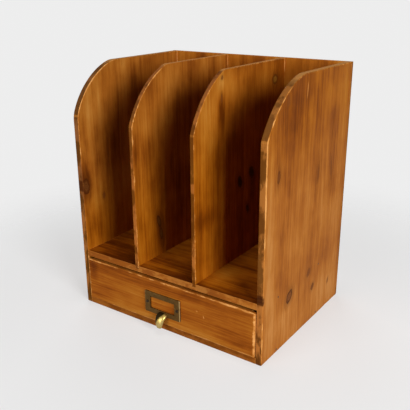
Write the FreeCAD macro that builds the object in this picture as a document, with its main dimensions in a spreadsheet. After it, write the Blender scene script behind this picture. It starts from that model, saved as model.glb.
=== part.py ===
import FreeCAD, Part
import math
import os

import Sketcher

# A wooden desktop file organizer: three open file compartments over one drawer.
# Lengths are in millimetres. X runs from left to right, Y from the front to the back and Z up.
# The origin lies on the table, under the middle of the carcass.

SIZES = (
    # Carcass, outside.
    ("overall_width", 302),
    ("overall_depth", 229),
    ("overall_height", 350),
    # Stock that the carcass is made of.
    ("side_thickness", 9),
    ("divider_thickness", 6),
    ("shelf_thickness", 9),
    ("bottom_thickness", 9),
    ("back_thickness", 5),
    # Where the boards stand.
    ("shelf_height", 85),
    ("divider_groove", 4),
    ("back_floor_gap", 1),
    # The sawn curve at the front top corner of each upright board.
    ("left_side_rise", 68),
    ("left_side_run", 74.5),
    ("left_side_bulge", 12.2),
    ("left_divider_rise", 71),
    ("left_divider_run", 74),
    ("left_divider_bulge", 11),
    ("right_divider_rise", 70.5),
    ("right_divider_run", 66),
    ("right_divider_bulge", 9.7),
    ("right_side_rise", 65),
    ("right_side_run", 85.5),
    ("right_side_bulge", 12.4),
    # Eased edges.
    ("upright_easing", 1.5),
    ("board_easing", 0.8),
    ("drawer_easing", 2.5),
    ("back_foot_round", 3.2),
    ("curve_top_bend", 22),
    ("curve_low_bend", 12),
    # Drawer.
    ("drawer_proud", 2.5),
    ("drawer_front_thickness", 10),
    ("drawer_front_lift", 0.6),
    ("drawer_front_headroom", 2.9),
    ("drawer_front_gap", 0.7),
    ("drawer_side_thickness", 6),
    ("drawer_side_headroom", 10.7),
    ("drawer_side_gap", 1),
    ("drawer_running_gap", 0.3),
    ("drawer_rear_gap", 0.4),
    ("drawer_rebate", 6),
    ("drawer_back_thickness", 6),
    ("drawer_bottom_thickness", 3),
    ("drawer_bottom_rise", 5),
    ("drawer_bottom_groove", 3),
    # Label frame.
    ("label_width", 60),
    ("label_height", 31.5),
    ("label_depth", 2.2),
    ("label_side_bar", 9.2),
    ("label_cross_bar", 7.2),
    ("label_shift", 2),
    ("label_drop", 2.25),
    ("label_corner", 1.2),
    ("label_easing", 0.6),
    ("card_gap", 1),
    ("card_lap", 3),
    # Finger pull.
    ("pull_root_lift", 1.15),
    ("pull_root_width", 16),
    ("pull_shoulder_width", 15.8),
    ("pull_tip_width", 8.5),
    ("pull_reach", 8.2),
    ("pull_drop", 13.6),
    ("pull_root_crown", 4.6),
    ("pull_tip_crown", 1.8),
    ("pull_belly", 1),
    ("pull_tip_round", 2.4),
    ("pull_tang_radius", 1.5),
    # Screws of the label frame.
    ("screw_head_radius", 2),
    ("screw_head_height", 1.1),
    ("screw_head_easing", 0.5),
    ("screw_radius", 0.9),
    ("screw_length", 8),
    ("screw_slot_width", 0.6),
    ("screw_slot_depth", 0.5),
    # Nails of the carcass.
    ("nail_head_radius", 1.3),
    ("nail_head_height", 0.8),
    ("nail_radius", 0.7),
    ("nail_length", 25),
    ("nail_point", 2),
    # Thin pins of the dividers, of the back panel and of the drawer.
    ("pin_head_radius", 1),
    ("pin_head_height", 0.6),
    ("pin_radius", 0.5),
    ("pin_length", 15),
    ("pin_point", 1.5),
)

# Where the fasteners sit, as shares of the board that they go through.
SIDE_NAIL_SHARES = (0.17, 0.69)
DIVIDER_PIN_SHARES = (0.2, 0.75)
BACK_PIN_SHARES = (0.32, 0.62, 0.93)
BACK_SHELF_SHARES = (0.17, 0.5, 0.83)
BACK_BOTTOM_SHARES = (0.12, 0.5, 0.88)
DRAWER_PIN_SHARES = (0.4, 0.82)
DRAWER_BOTTOM_SHARES = (0.15, 0.5, 0.85)

# Sections of the finger pull, as shares of its quarter turn.
PULL_TURN_SHARES = (0, 0.25, 0.5, 0.75, 1)
# Sections of its rounded tip: how far along it, and how much of the width and thickness is left.
PULL_TIP_SHARES = ((0.45, 0.9), (0.8, 0.7), (1, 0.4))

doc = FreeCAD.newDocument("organizer")
sheet = doc.addObject("Spreadsheet::Sheet", "sizes")
for row, (alias, number) in enumerate(SIZES, 1):
    sheet.set(f"A{row}", alias)
    sheet.set(f"B{row}", str(number))
    sheet.setAlias(f"B{row}", alias)
doc.recompute()

# Places that several pieces share, as expressions over the sheet.
FRONT = "(-sizes.overall_depth / 2)"
REAR = "(sizes.overall_depth / 2)"
BACK_FACE = f"({REAR} - sizes.back_thickness)"
LEFT = "(-sizes.overall_width / 2)"
RIGHT = "(sizes.overall_width / 2)"
LEFT_INSIDE = f"({LEFT} + sizes.side_thickness)"
RIGHT_INSIDE = f"({RIGHT} - sizes.side_thickness)"
UPRIGHT_DEPTH = "(sizes.overall_depth - sizes.back_thickness)"
INSIDE_WIDTH = "(sizes.overall_width - 2 * sizes.side_thickness)"
COMPARTMENT = f"(({INSIDE_WIDTH} - 2 * sizes.divider_thickness) / 3)"
LEFT_DIVIDER = f"({LEFT_INSIDE} + {COMPARTMENT})"
RIGHT_DIVIDER = f"({RIGHT_INSIDE} - {COMPARTMENT} - sizes.divider_thickness)"
SHELF_UNDERSIDE = "(sizes.shelf_height - sizes.shelf_thickness)"
DIVIDER_FOOT = "(sizes.shelf_height - sizes.divider_groove)"

DRAWER_FACE = f"({FRONT} - sizes.drawer_proud)"
DRAWER_FRONT_REAR = f"({DRAWER_FACE} + sizes.drawer_front_thickness)"
DRAWER_SHOULDER = f"({DRAWER_FRONT_REAR} - sizes.drawer_rebate)"
DRAWER_REAR = f"({BACK_FACE} - sizes.drawer_rear_gap)"
DRAWER_FOOT = "(sizes.bottom_thickness + sizes.drawer_running_gap)"
DRAWER_TOP = f"({SHELF_UNDERSIDE} - sizes.drawer_side_headroom)"
DRAWER_LEFT = f"({LEFT_INSIDE} + sizes.drawer_side_gap)"
DRAWER_RIGHT = f"({RIGHT_INSIDE} - sizes.drawer_side_gap)"
DRAWER_LEFT_INSIDE = f"({DRAWER_LEFT} + sizes.drawer_side_thickness)"
DRAWER_RIGHT_INSIDE = f"({DRAWER_RIGHT} - sizes.drawer_side_thickness)"
DRAWER_FRONT_LEFT = f"({LEFT_INSIDE} + sizes.drawer_front_gap)"
DRAWER_FRONT_RIGHT = f"({RIGHT_INSIDE} - sizes.drawer_front_gap)"
DRAWER_FRONT_FOOT = "(sizes.bottom_thickness + sizes.drawer_front_lift)"
DRAWER_FRONT_TOP = f"({SHELF_UNDERSIDE} - sizes.drawer_front_headroom)"
DRAWER_FLOOR_UNDERSIDE = f"({DRAWER_FOOT} + sizes.drawer_bottom_rise)"
DRAWER_FLOOR = f"({DRAWER_FLOOR_UNDERSIDE} + sizes.drawer_bottom_thickness)"

LABEL_FACE = f"({DRAWER_FACE} - sizes.label_depth)"
LABEL_X = "(-sizes.label_shift)"
LABEL_Z = f"(({DRAWER_FRONT_FOOT} + {DRAWER_FRONT_TOP}) / 2 - sizes.label_drop)"
LABEL_LEFT = f"({LABEL_X} - sizes.label_width / 2)"
LABEL_RIGHT = f"({LABEL_X} + sizes.label_width / 2)"
LABEL_FOOT = f"({LABEL_Z} - sizes.label_height / 2)"
LABEL_TOP = f"({LABEL_Z} + sizes.label_height / 2)"
WINDOW_LEFT = f"({LABEL_LEFT} + sizes.label_side_bar)"
WINDOW_RIGHT = f"({LABEL_RIGHT} - sizes.label_side_bar)"
WINDOW_FOOT = f"({LABEL_FOOT} + sizes.label_cross_bar)"
WINDOW_TOP = f"({LABEL_TOP} - sizes.label_cross_bar)"
PULL_Z = f"({LABEL_FOOT} + sizes.pull_root_lift)"
TANG_Z = f"({LABEL_FOOT} + sizes.label_cross_bar / 2)"

# How close two places are when they count as the same.
NEAR = 0.001

# Turns that lay an upright primitive along another axis.
TURNS = {
    "+x": FreeCAD.Rotation(FreeCAD.Vector(0, 1, 0), 90),
    "-x": FreeCAD.Rotation(FreeCAD.Vector(0, 1, 0), -90),
    "+y": FreeCAD.Rotation(FreeCAD.Vector(1, 0, 0), -90),
    "-y": FreeCAD.Rotation(FreeCAD.Vector(1, 0, 0), 90),
    "+z": FreeCAD.Rotation(),
}


def size(alias):
    """The number in the sheet under an alias."""
    return float(sheet.get(alias))


def worth(expression):
    """The number that an expression over the sheet comes to."""
    value = sheet.evalExpression(expression.replace("sizes.", ""))
    return float(getattr(value, "Value", value))


def between(low, high, share):
    """The expression of a place that lies a share of the way from low to high."""
    return f"({low} + ({high} - {low}) * {share})"


def place(item, base):
    """Binds the three coordinates of an object's placement to expressions."""
    for axis, expression in zip("xyz", base):
        item.setExpression(f"Placement.Base.{axis}", str(expression))


def block(name, low, high):
    """A straight block between two corners."""
    item = doc.addObject("Part::Box", name)
    for side, start, end in zip(("Length", "Width", "Height"), low, high):
        item.setExpression(side, f"{end} - {start}")
    place(item, low)
    return item


def group(name, items):
    """Several solids kept as one object."""
    item = doc.addObject("Part::Compound", name)
    item.Links = items
    return item


def fused(name, items):
    """Several shapes joined into one solid."""
    item = doc.addObject("Part::MultiFuse", name)
    item.Shapes = items
    return item


def cut(name, base, tools):
    """A shape with the shapes of the tools taken away."""
    item = doc.addObject("Part::Cut", name)
    item.Base = base
    item.Tool = group(f"{name}_tools", tools)
    return item


def edges_in(shape, plane, along):
    """The numbers of the edges that lie in an outer plane of a shape, such as YMin, and run along an axis."""
    limit = getattr(shape.BoundBox, plane)
    found = []
    for number, edge in enumerate(shape.Edges, 1):
        low, high = (getattr(edge.BoundBox, plane[0] + end) for end in ("Min", "Max"))
        flat = abs(low - limit) < NEAR and abs(high - limit) < NEAR
        if flat and any(getattr(edge.BoundBox, f"{axis}Length") > NEAR for axis in along):
            found.append(number)
    return found


def eased(name, base, alias, plane, along, foot_alias=None):
    """A shape with some edges of one outer plane rounded over, its foot by a size of its own if given."""
    doc.recompute()
    item = doc.addObject("Part::Fillet", name)
    item.Base = base
    feet = edges_in(base.Shape, "ZMin", along) if foot_alias else []
    rounds = []
    for number in edges_in(base.Shape, plane, along):
        radius = size(foot_alias if number in feet else alias)
        rounds.append((number, radius, radius))
    item.Edges = rounds
    return item


def origin_plane(body, role):
    """One of the three planes of a body's own origin."""
    return next(item for item in body.Origin.OriginFeatures if item.Role == role)


def new_sketch(body, name, role):
    """An empty sketch on one of a body's origin planes."""
    sketch = body.newObject("Sketcher::SketchObject", name)
    sketch.AttachmentSupport = [(origin_plane(body, role), "")]
    sketch.MapMode = "FlatFace"
    return sketch


def constrain(sketch, name, kind, places, value, expression):
    """Adds a named dimension to a sketch and binds it to an expression."""
    number = sketch.addConstraint(Sketcher.Constraint(kind, *places, value))
    sketch.renameConstraint(number, name)
    sketch.setExpression(f"Constraints.{name}", expression)


def round_edges(body, name, base, numbers, alias):
    """Adds a fillet over some edges of a body's last feature."""
    fillet = body.newObject("PartDesign::Fillet", name)
    fillet.Base = (base, [f"Edge{number}" for number in numbers])
    fillet.setExpression("Radius", f"sizes.{alias}")
    body.Tip = fillet
    doc.recompute()
    return fillet


def upright(name, left, thickness, foot):
    """A board on edge whose front top corner is sawn to a bowed curve."""
    rise, run, bulge = (size(f"{name}_{part}") for part in ("rise", "run", "bulge"))
    tall = worth(f"sizes.overall_height - {foot}")
    deep = worth(UPRIGHT_DEPTH)
    radius = ((rise ** 2 + run ** 2) / 4 + bulge ** 2) / (2 * bulge)

    body = doc.addObject("PartDesign::Body", f"{name}_board")
    sketch = new_sketch(body, f"{name}_outline", "YZ_Plane")
    corner = FreeCAD.Vector(0, 0, 0)
    low = FreeCAD.Vector(0, tall - rise, 0)
    high = FreeCAD.Vector(run, tall, 0)
    rear_top = FreeCAD.Vector(deep, tall, 0)
    rear_foot = FreeCAD.Vector(deep, 0, 0)
    chord = high - low
    inward = FreeCAD.Vector(chord.y, -chord.x, 0).normalize()
    centre = (low + high) * 0.5 + inward * (radius - bulge)
    angles = [math.atan2(point.y - centre.y, point.x - centre.x) for point in (high, low)]
    circle = Part.Circle(centre, FreeCAD.Vector(0, 0, 1), radius)
    sketch.addGeometry(Part.LineSegment(corner, low))
    sketch.addGeometry(Part.ArcOfCircle(circle, *angles))
    sketch.addGeometry(Part.LineSegment(high, rear_top))
    sketch.addGeometry(Part.LineSegment(rear_top, rear_foot))
    sketch.addGeometry(Part.LineSegment(rear_foot, corner))
    for joint in ((0, 2, 1, 2), (1, 1, 2, 1), (2, 2, 3, 1), (3, 2, 4, 1), (4, 2, 0, 1), (0, 1, -1, 1)):
        sketch.addConstraint(Sketcher.Constraint("Coincident", *joint))
    for line, kind in ((0, "Vertical"), (2, "Horizontal"), (3, "Vertical"), (4, "Horizontal")):
        sketch.addConstraint(Sketcher.Constraint(kind, line))
    constrain(sketch, "deep", "DistanceX", (0, 1, 3, 2), deep, UPRIGHT_DEPTH)
    constrain(sketch, "tall", "DistanceY", (3, 2, 3, 1), tall, f"sizes.overall_height - {foot}")
    constrain(sketch, "rise", "DistanceY", (0, 2, 2, 1), rise, f"sizes.{name}_rise")
    constrain(sketch, "run", "DistanceX", (0, 2, 2, 1), run, f"sizes.{name}_run")
    halves = f"(sizes.{name}_rise ^ 2 + sizes.{name}_run ^ 2) / 4 + sizes.{name}_bulge ^ 2"
    constrain(sketch, "curve", "Radius", (1,), radius, f"({halves}) / (2 * sizes.{name}_bulge)")
    pad = body.newObject("PartDesign::Pad", f"{name}_pad")
    pad.Profile = sketch
    pad.setExpression("Length", f"sizes.{thickness}")
    body.Tip = pad
    doc.recompute()

    last = pad
    for bend, plane, other in (("top_bend", "ZMax", "YMax"), ("low_bend", "YMin", "ZMin")):
        corners = edges_in(last.Shape, other, "X")
        edges = [number for number in edges_in(last.Shape, plane, "X") if number not in corners]
        last = round_edges(body, f"{name}_{bend}", last, edges, f"curve_{bend}")
    loops = edges_in(last.Shape, "XMin", "YZ") + edges_in(last.Shape, "XMax", "YZ")
    if foot != "0":
        loops = [number for number in loops if number not in edges_in(last.Shape, "ZMin", "Y")]
    round_edges(body, f"{name}_easing", last, loops, "upright_easing")
    place(body, (left, FRONT, foot))
    return body


def nail(name, kind, head, way):
    """A wire nail, driven along an axis from the middle of the outer face of its head."""
    axis = "xyz".index(way[1])

    def along(distance):
        base = list(head)
        base[axis] = f"{head[axis]} {way[0]} ({distance})"
        return base

    cap = doc.addObject("Part::Cylinder", f"{name}_cap")
    shank = doc.addObject("Part::Cylinder", f"{name}_shank")
    point = doc.addObject("Part::Cone", f"{name}_point")
    starts = ("0", f"sizes.{kind}_head_height", f"sizes.{kind}_length - sizes.{kind}_point")
    for item, start in zip((cap, shank, point), starts):
        item.Placement.Rotation = TURNS[way]
        place(item, along(start))
    cap.setExpression("Radius", f"sizes.{kind}_head_radius")
    cap.setExpression("Height", f"sizes.{kind}_head_height")
    shank.setExpression("Radius", f"sizes.{kind}_radius")
    shank.setExpression("Height", f"sizes.{kind}_length - sizes.{kind}_point - sizes.{kind}_head_height")
    point.setExpression("Radius1", f"sizes.{kind}_radius")
    point.Radius2 = 0
    point.setExpression("Height", f"sizes.{kind}_point")
    return fused(name, [cap, shank, point])


# Nails of the carcass, whose shapes also cut their own holes.

SHELF_MIDDLE = f"({SHELF_UNDERSIDE} + sizes.shelf_thickness / 2)"
BOTTOM_MIDDLE = "(sizes.bottom_thickness / 2)"


def side_nails(name, face, way):
    """The nails through one side into the shelf and into the bottom panel."""
    nails = []
    for row, height in (("shelf", SHELF_MIDDLE), ("bottom", BOTTOM_MIDDLE)):
        for number, share in enumerate(SIDE_NAIL_SHARES, 1):
            head = (face, between(FRONT, BACK_FACE, share), height)
            nails.append(nail(f"{name}_{row}_{number}", "nail", head, way))
    return group(name, nails)


left_side_nails = side_nails("left_side_nails", LEFT, "+x")
right_side_nails = side_nails("right_side_nails", RIGHT, "-x")

LEFT_DIVIDER_MIDDLE = f"({LEFT_DIVIDER} + sizes.divider_thickness / 2)"
RIGHT_DIVIDER_MIDDLE = f"({RIGHT_DIVIDER} + sizes.divider_thickness / 2)"
LEFT_SIDE_MIDDLE = f"({LEFT} + sizes.side_thickness / 2)"
RIGHT_SIDE_MIDDLE = f"({RIGHT} - sizes.side_thickness / 2)"

pins = []
for side, middle in (("left", LEFT_DIVIDER_MIDDLE), ("right", RIGHT_DIVIDER_MIDDLE)):
    for number, share in enumerate(DIVIDER_PIN_SHARES, 1):
        head = (middle, between(FRONT, BACK_FACE, share), SHELF_UNDERSIDE)
        pins.append(nail(f"divider_pin_{side}_{number}", "pin", head, "+z"))
divider_nails = group("divider_nails", pins)

pins = []
columns = (
    ("left_side", LEFT_SIDE_MIDDLE),
    ("left_divider", LEFT_DIVIDER_MIDDLE),
    ("right_divider", RIGHT_DIVIDER_MIDDLE),
    ("right_side", RIGHT_SIDE_MIDDLE),
)
for column, middle in columns:
    for number, share in enumerate(BACK_PIN_SHARES, 1):
        head = (middle, REAR, between("0", "sizes.overall_height", share))
        pins.append(nail(f"back_pin_{column}_{number}", "pin", head, "-y"))
rows = (
    ("shelf", SHELF_MIDDLE, BACK_SHELF_SHARES),
    ("bottom", BOTTOM_MIDDLE, BACK_BOTTOM_SHARES),
)
for row, height, shares in rows:
    for number, share in enumerate(shares, 1):
        head = (between(LEFT_INSIDE, RIGHT_INSIDE, share), REAR, height)
        pins.append(nail(f"back_pin_{row}_{number}", "pin", head, "-y"))
back_panel_nails = group("back_panel_nails", pins)

# Boards of the carcass.

left_board = upright("left_side", LEFT, "side_thickness", "0")
left_side = cut("left_side", left_board, [left_side_nails, back_panel_nails])
right_board = upright("right_side", RIGHT_INSIDE, "side_thickness", "0")
right_side = cut("right_side", right_board, [right_side_nails, back_panel_nails])
left_divider_board = upright("left_divider", LEFT_DIVIDER, "divider_thickness", DIVIDER_FOOT)
left_divider = cut("left_divider", left_divider_board, [divider_nails, back_panel_nails])
right_divider_board = upright("right_divider", RIGHT_DIVIDER, "divider_thickness", DIVIDER_FOOT)
right_divider = cut("right_divider", right_divider_board, [divider_nails, back_panel_nails])

shelf_low = (LEFT_INSIDE, FRONT, SHELF_UNDERSIDE)
shelf_high = (RIGHT_INSIDE, BACK_FACE, "sizes.shelf_height")
shelf_blank = block("shelf_blank", shelf_low, shelf_high)
shelf_board = eased("shelf_board", shelf_blank, "board_easing", "YMin", "X")
grooves = []
for side, face in (("left", LEFT_DIVIDER), ("right", RIGHT_DIVIDER)):
    low = (face, FRONT, DIVIDER_FOOT)
    high = (f"({face} + sizes.divider_thickness)", BACK_FACE, "sizes.shelf_height")
    grooves.append(block(f"{side}_divider_groove", low, high))
shelf_tools = [*grooves, left_side_nails, right_side_nails, divider_nails, back_panel_nails]
shelf = cut("shelf", shelf_board, shelf_tools)

bottom_high = (RIGHT_INSIDE, BACK_FACE, "sizes.bottom_thickness")
bottom_blank = block("bottom_blank", (LEFT_INSIDE, FRONT, "0"), bottom_high)
bottom_board = eased("bottom_board", bottom_blank, "board_easing", "YMin", "X")
bottom_panel = cut("bottom_panel", bottom_board, [left_side_nails, right_side_nails, back_panel_nails])

back_low = (LEFT, BACK_FACE, "sizes.back_floor_gap")
back_blank = block("back_blank", back_low, (RIGHT, REAR, "sizes.overall_height"))
back_board = eased("back_board", back_blank, "board_easing", "YMax", "XZ", "back_foot_round")
back_panel = cut("back_panel", back_board, [back_panel_nails])

# Nails of the drawer.

FRONT_PIN_Y = f"({DRAWER_SHOULDER} + sizes.drawer_rebate / 2)"
BACK_PIN_Y = f"({DRAWER_REAR} - sizes.drawer_back_thickness / 2)"
drawer_sides = (("left", DRAWER_LEFT, "+x"), ("right", DRAWER_RIGHT, "-x"))


def drawer_pins(name, depth):
    """The pins through both drawer sides at one distance from the front."""
    items = []
    for side, face, way in drawer_sides:
        for number, share in enumerate(DRAWER_PIN_SHARES, 1):
            head = (face, depth, between(DRAWER_FOOT, DRAWER_TOP, share))
            items.append(nail(f"{name}_{side}_{number}", "pin", head, way))
    return group(name, items)


drawer_front_nails = drawer_pins("drawer_front_nails", FRONT_PIN_Y)
drawer_back_nails = drawer_pins("drawer_back_nails", BACK_PIN_Y)
pins = []
for number, share in enumerate(DRAWER_BOTTOM_SHARES, 1):
    head = (between(DRAWER_LEFT_INSIDE, DRAWER_RIGHT_INSIDE, share), BACK_PIN_Y, DRAWER_FLOOR_UNDERSIDE)
    pins.append(nail(f"drawer_bottom_pin_{number}", "pin", head, "+z"))
drawer_bottom_nails = group("drawer_bottom_nails", pins)

# Screws of the label frame: a round head with a slot, and a plain shank.

screws = []
screw_places = (
    ("left", f"({LABEL_LEFT} + sizes.label_side_bar / 2)"),
    ("right", f"({LABEL_RIGHT} - sizes.label_side_bar / 2)"),
)
for side, middle in screw_places:
    head = doc.addObject("Part::Cylinder", f"{side}_screw_head")
    head.Placement.Rotation = TURNS["-y"]
    head.setExpression("Radius", "sizes.screw_head_radius")
    head.setExpression("Height", "sizes.screw_head_height")
    place(head, (middle, LABEL_FACE, LABEL_Z))
    dome = eased(f"{side}_screw_dome", head, "screw_head_easing", "YMin", "X")
    shank = doc.addObject("Part::Cylinder", f"{side}_screw_shank")
    shank.Placement.Rotation = TURNS["+y"]
    shank.setExpression("Radius", "sizes.screw_radius")
    shank.setExpression("Height", "sizes.screw_length")
    place(shank, (middle, LABEL_FACE, LABEL_Z))
    slot_low = (
        f"({middle} - sizes.screw_slot_width / 2)",
        f"({LABEL_FACE} - sizes.screw_head_height)",
        f"({LABEL_Z} - sizes.screw_head_radius)",
    )
    slot_high = (
        f"({middle} + sizes.screw_slot_width / 2)",
        f"({LABEL_FACE} - sizes.screw_head_height + sizes.screw_slot_depth)",
        f"({LABEL_Z} + sizes.screw_head_radius)",
    )
    slot = block(f"{side}_screw_slot", slot_low, slot_high)
    screws.append(cut(f"{side}_screw", fused(f"{side}_screw_blank", [dome, shank]), [slot]))
label_screws = group("label_screws", screws)

# Boards of the drawer. The drawer bottom cuts its own grooves.

floor_low = (
    f"({DRAWER_LEFT_INSIDE} - sizes.drawer_bottom_groove)",
    f"({DRAWER_FRONT_REAR} - sizes.drawer_bottom_groove)",
    DRAWER_FLOOR_UNDERSIDE,
)
floor_high = (f"({DRAWER_RIGHT_INSIDE} + sizes.drawer_bottom_groove)", DRAWER_REAR, DRAWER_FLOOR)
drawer_bottom_board = block("drawer_bottom_board", floor_low, floor_high)
drawer_bottom = cut("drawer_bottom", drawer_bottom_board, [drawer_bottom_nails])

front_low = (DRAWER_FRONT_LEFT, DRAWER_FACE, DRAWER_FRONT_FOOT)
front_high = (DRAWER_FRONT_RIGHT, DRAWER_FRONT_REAR, DRAWER_FRONT_TOP)
front_blank = block("drawer_front_blank", front_low, front_high)
front_board = eased("drawer_front_board", front_blank, "drawer_easing", "YMin", "XZ")
left_rebate = block(
    "left_rebate",
    (DRAWER_FRONT_LEFT, DRAWER_SHOULDER, DRAWER_FRONT_FOOT),
    (DRAWER_LEFT_INSIDE, DRAWER_FRONT_REAR, DRAWER_FRONT_TOP),
)
right_rebate = block(
    "right_rebate",
    (DRAWER_RIGHT_INSIDE, DRAWER_SHOULDER, DRAWER_FRONT_FOOT),
    (DRAWER_FRONT_RIGHT, DRAWER_FRONT_REAR, DRAWER_FRONT_TOP),
)
front_tools = [left_rebate, right_rebate, drawer_bottom_board, drawer_front_nails, label_screws]
drawer_front = cut("drawer_front", front_board, front_tools)


def drawer_side(name, outside, inside):
    """One side of the drawer, grooved for the drawer bottom."""
    blank = block(f"{name}_blank", (outside, DRAWER_SHOULDER, DRAWER_FOOT), (inside, DRAWER_REAR, DRAWER_TOP))
    board = eased(f"{name}_board", blank, "board_easing", "ZMax", "Y")
    return cut(name, board, [drawer_bottom_board, drawer_front_nails, drawer_back_nails])


drawer_left_side = drawer_side("drawer_left_side", DRAWER_LEFT, DRAWER_LEFT_INSIDE)
drawer_right_side = drawer_side("drawer_right_side", DRAWER_RIGHT_INSIDE, DRAWER_RIGHT)
rear_low = (DRAWER_LEFT_INSIDE, f"({DRAWER_REAR} - sizes.drawer_back_thickness)", DRAWER_FLOOR)
rear_board = block("drawer_back_blank", rear_low, (DRAWER_RIGHT_INSIDE, DRAWER_REAR, DRAWER_TOP))
rear_eased = eased("drawer_back_board", rear_board, "board_easing", "ZMax", "X")
drawer_back = cut("drawer_back", rear_eased, [drawer_back_nails, drawer_bottom_nails])

# Finger pull: a crowned tongue that leaves the frame level and turns down, with a tang through the frame.

pull_body = doc.addObject("PartDesign::Body", "pull_tongue")


def pull_section(number, width, crown, belly, ahead, below, turn):
    """A lens-shaped section of the pull, square to its path."""
    wide = worth(width)
    sketch = new_sketch(pull_body, f"pull_section_{number}", "XZ_Plane")
    sketch.AttachmentOffset.Rotation = TURNS["-y"]
    sketch.setExpression("AttachmentOffset.Base.y", f"-({below})")
    sketch.setExpression("AttachmentOffset.Base.z", ahead)
    sketch.setExpression("AttachmentOffset.Rotation.Angle", turn)
    for height, side in ((crown, 1), (belly, -1)):
        bulge = worth(height)
        radius = (wide ** 2 / 4 + bulge ** 2) / (2 * bulge)
        centre = FreeCAD.Vector(0, side * (bulge - radius), 0)
        lean = math.atan2(-centre.y, wide / 2)
        first, last = (lean, math.pi - lean) if side > 0 else (math.pi - lean, 2 * math.pi + lean)
        circle = Part.Circle(centre, FreeCAD.Vector(0, 0, 1), radius)
        sketch.addGeometry(Part.ArcOfCircle(circle, first, last))
    sketch.addConstraint(Sketcher.Constraint("Coincident", 0, 1, 1, 2))
    sketch.addConstraint(Sketcher.Constraint("Coincident", 0, 2, 1, 1))
    sketch.addConstraint(Sketcher.Constraint("PointOnObject", 0, 1, -1))
    sketch.addConstraint(Sketcher.Constraint("Symmetric", 0, 2, 0, 1, -2))
    constrain(sketch, "wide", "DistanceX", (0, 2, 0, 1), wide, width)
    for arc, name, height in ((0, "crown", crown), (1, "belly", belly)):
        formula = f"(({width}) ^ 2 / 4 + ({height}) ^ 2) / (2 * ({height}))"
        constrain(sketch, name, "Radius", (arc,), worth(formula), formula)
    return sketch


sections = []
for share in PULL_TURN_SHARES:
    width = between(
        between("sizes.pull_root_width", "sizes.pull_shoulder_width", share),
        between("sizes.pull_shoulder_width", "sizes.pull_tip_width", share),
        share,
    )
    crown = between("sizes.pull_root_crown", "sizes.pull_tip_crown", share)
    angle = f"{share} * 90 deg"
    ahead = f"sizes.pull_reach * sin({angle})"
    below = f"sizes.pull_drop * (1 - cos({angle}))"
    turn = f"atan2(sizes.pull_drop * sin({angle}); sizes.pull_reach * cos({angle}))"
    sections.append(pull_section(len(sections), width, crown, "sizes.pull_belly", ahead, below, turn))
for along, share in PULL_TIP_SHARES:
    width = f"sizes.pull_tip_width * {share}"
    below = f"sizes.pull_drop + sizes.pull_tip_round * {along}"
    crown = f"sizes.pull_tip_crown * {share}"
    belly = f"sizes.pull_belly * {share}"
    sections.append(pull_section(len(sections), width, crown, belly, "sizes.pull_reach", below, "90 deg"))
doc.recompute()
turned = len(PULL_TURN_SHARES)
for name, chain in (("pull_bend", sections[:turned]), ("pull_tip", sections[turned - 1:])):
    loft = pull_body.newObject("PartDesign::AdditiveLoft", name)
    loft.Profile = chain[0]
    loft.Sections = chain[1:]
    pull_body.Tip = loft
    doc.recompute()
place(pull_body, (LABEL_X, LABEL_FACE, PULL_Z))
tang = doc.addObject("Part::Cylinder", "pull_tang")
tang.Placement.Rotation = TURNS["+y"]
tang.setExpression("Radius", "sizes.pull_tang_radius")
tang.setExpression("Height", "sizes.label_depth - sizes.card_gap")
place(tang, (LABEL_X, LABEL_FACE, TANG_Z))
finger_pull = fused("finger_pull", [pull_body, tang])

# Label frame: a plate with a window, and behind it a pocket for a card that is open at the top.

plate = block("label_blank", (LABEL_LEFT, LABEL_FACE, LABEL_FOOT), (LABEL_RIGHT, DRAWER_FACE, LABEL_TOP))
doc.recompute()
cornered = doc.addObject("Part::Fillet", "label_cornered")
cornered.Base = plate
corner = size("label_corner")
upright_edges = edges_in(plate.Shape, "XMin", "Y") + edges_in(plate.Shape, "XMax", "Y")
cornered.Edges = [(number, corner, corner) for number in upright_edges]
frame_board = eased("label_board", cornered, "label_easing", "YMin", "XZ")
window = block(
    "label_window",
    (WINDOW_LEFT, LABEL_FACE, WINDOW_FOOT),
    (WINDOW_RIGHT, DRAWER_FACE, WINDOW_TOP),
)
pocket_low = (
    f"({WINDOW_LEFT} - sizes.card_lap)",
    f"({DRAWER_FACE} - sizes.card_gap)",
    f"({WINDOW_FOOT} - sizes.card_lap)",
)
pocket = block("card_pocket", pocket_low, (f"({WINDOW_RIGHT} + sizes.card_lap)", DRAWER_FACE, LABEL_TOP))
label_frame = cut("label_frame", frame_board, [window, pocket, tang, label_screws])

doc.recompute()

NODES = (
    left_side,
    right_side,
    left_divider,
    right_divider,
    shelf,
    bottom_panel,
    back_panel,
    left_side_nails,
    right_side_nails,
    divider_nails,
    back_panel_nails,
    drawer_front,
    drawer_left_side,
    drawer_right_side,
    drawer_back,
    drawer_bottom,
    drawer_front_nails,
    drawer_back_nails,
    drawer_bottom_nails,
    label_frame,
    finger_pull,
    label_screws,
)

for item in doc.Objects:
    if {"Invalid", "Error"} & set(item.State):
        raise RuntimeError(f"{item.Label} did not compute: {item.State}")
for node in NODES:
    if node.Shape.isNull() or not node.Shape.isValid():
        raise RuntimeError(f"{node.Label} has no valid shape")

os.makedirs("parts", exist_ok=True)
for node in NODES:
    node.Shape.exportStep(f"parts/{node.Label}.step")
    print(node.Label, len(node.Shape.Solids), round(node.Shape.Volume, 1))
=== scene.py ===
"""Looks of the desktop file organizer: worn stained pine boards, brass label hardware and a plain studio."""

import logging
import math
import random
from collections.abc import Callable, Iterable, Sequence
from dataclasses import dataclass
from enum import Enum
from functools import partial, reduce
from itertools import combinations
from typing import TypeVar

import bmesh
import bpy
from mathutils import Matrix, Vector, noise


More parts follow.
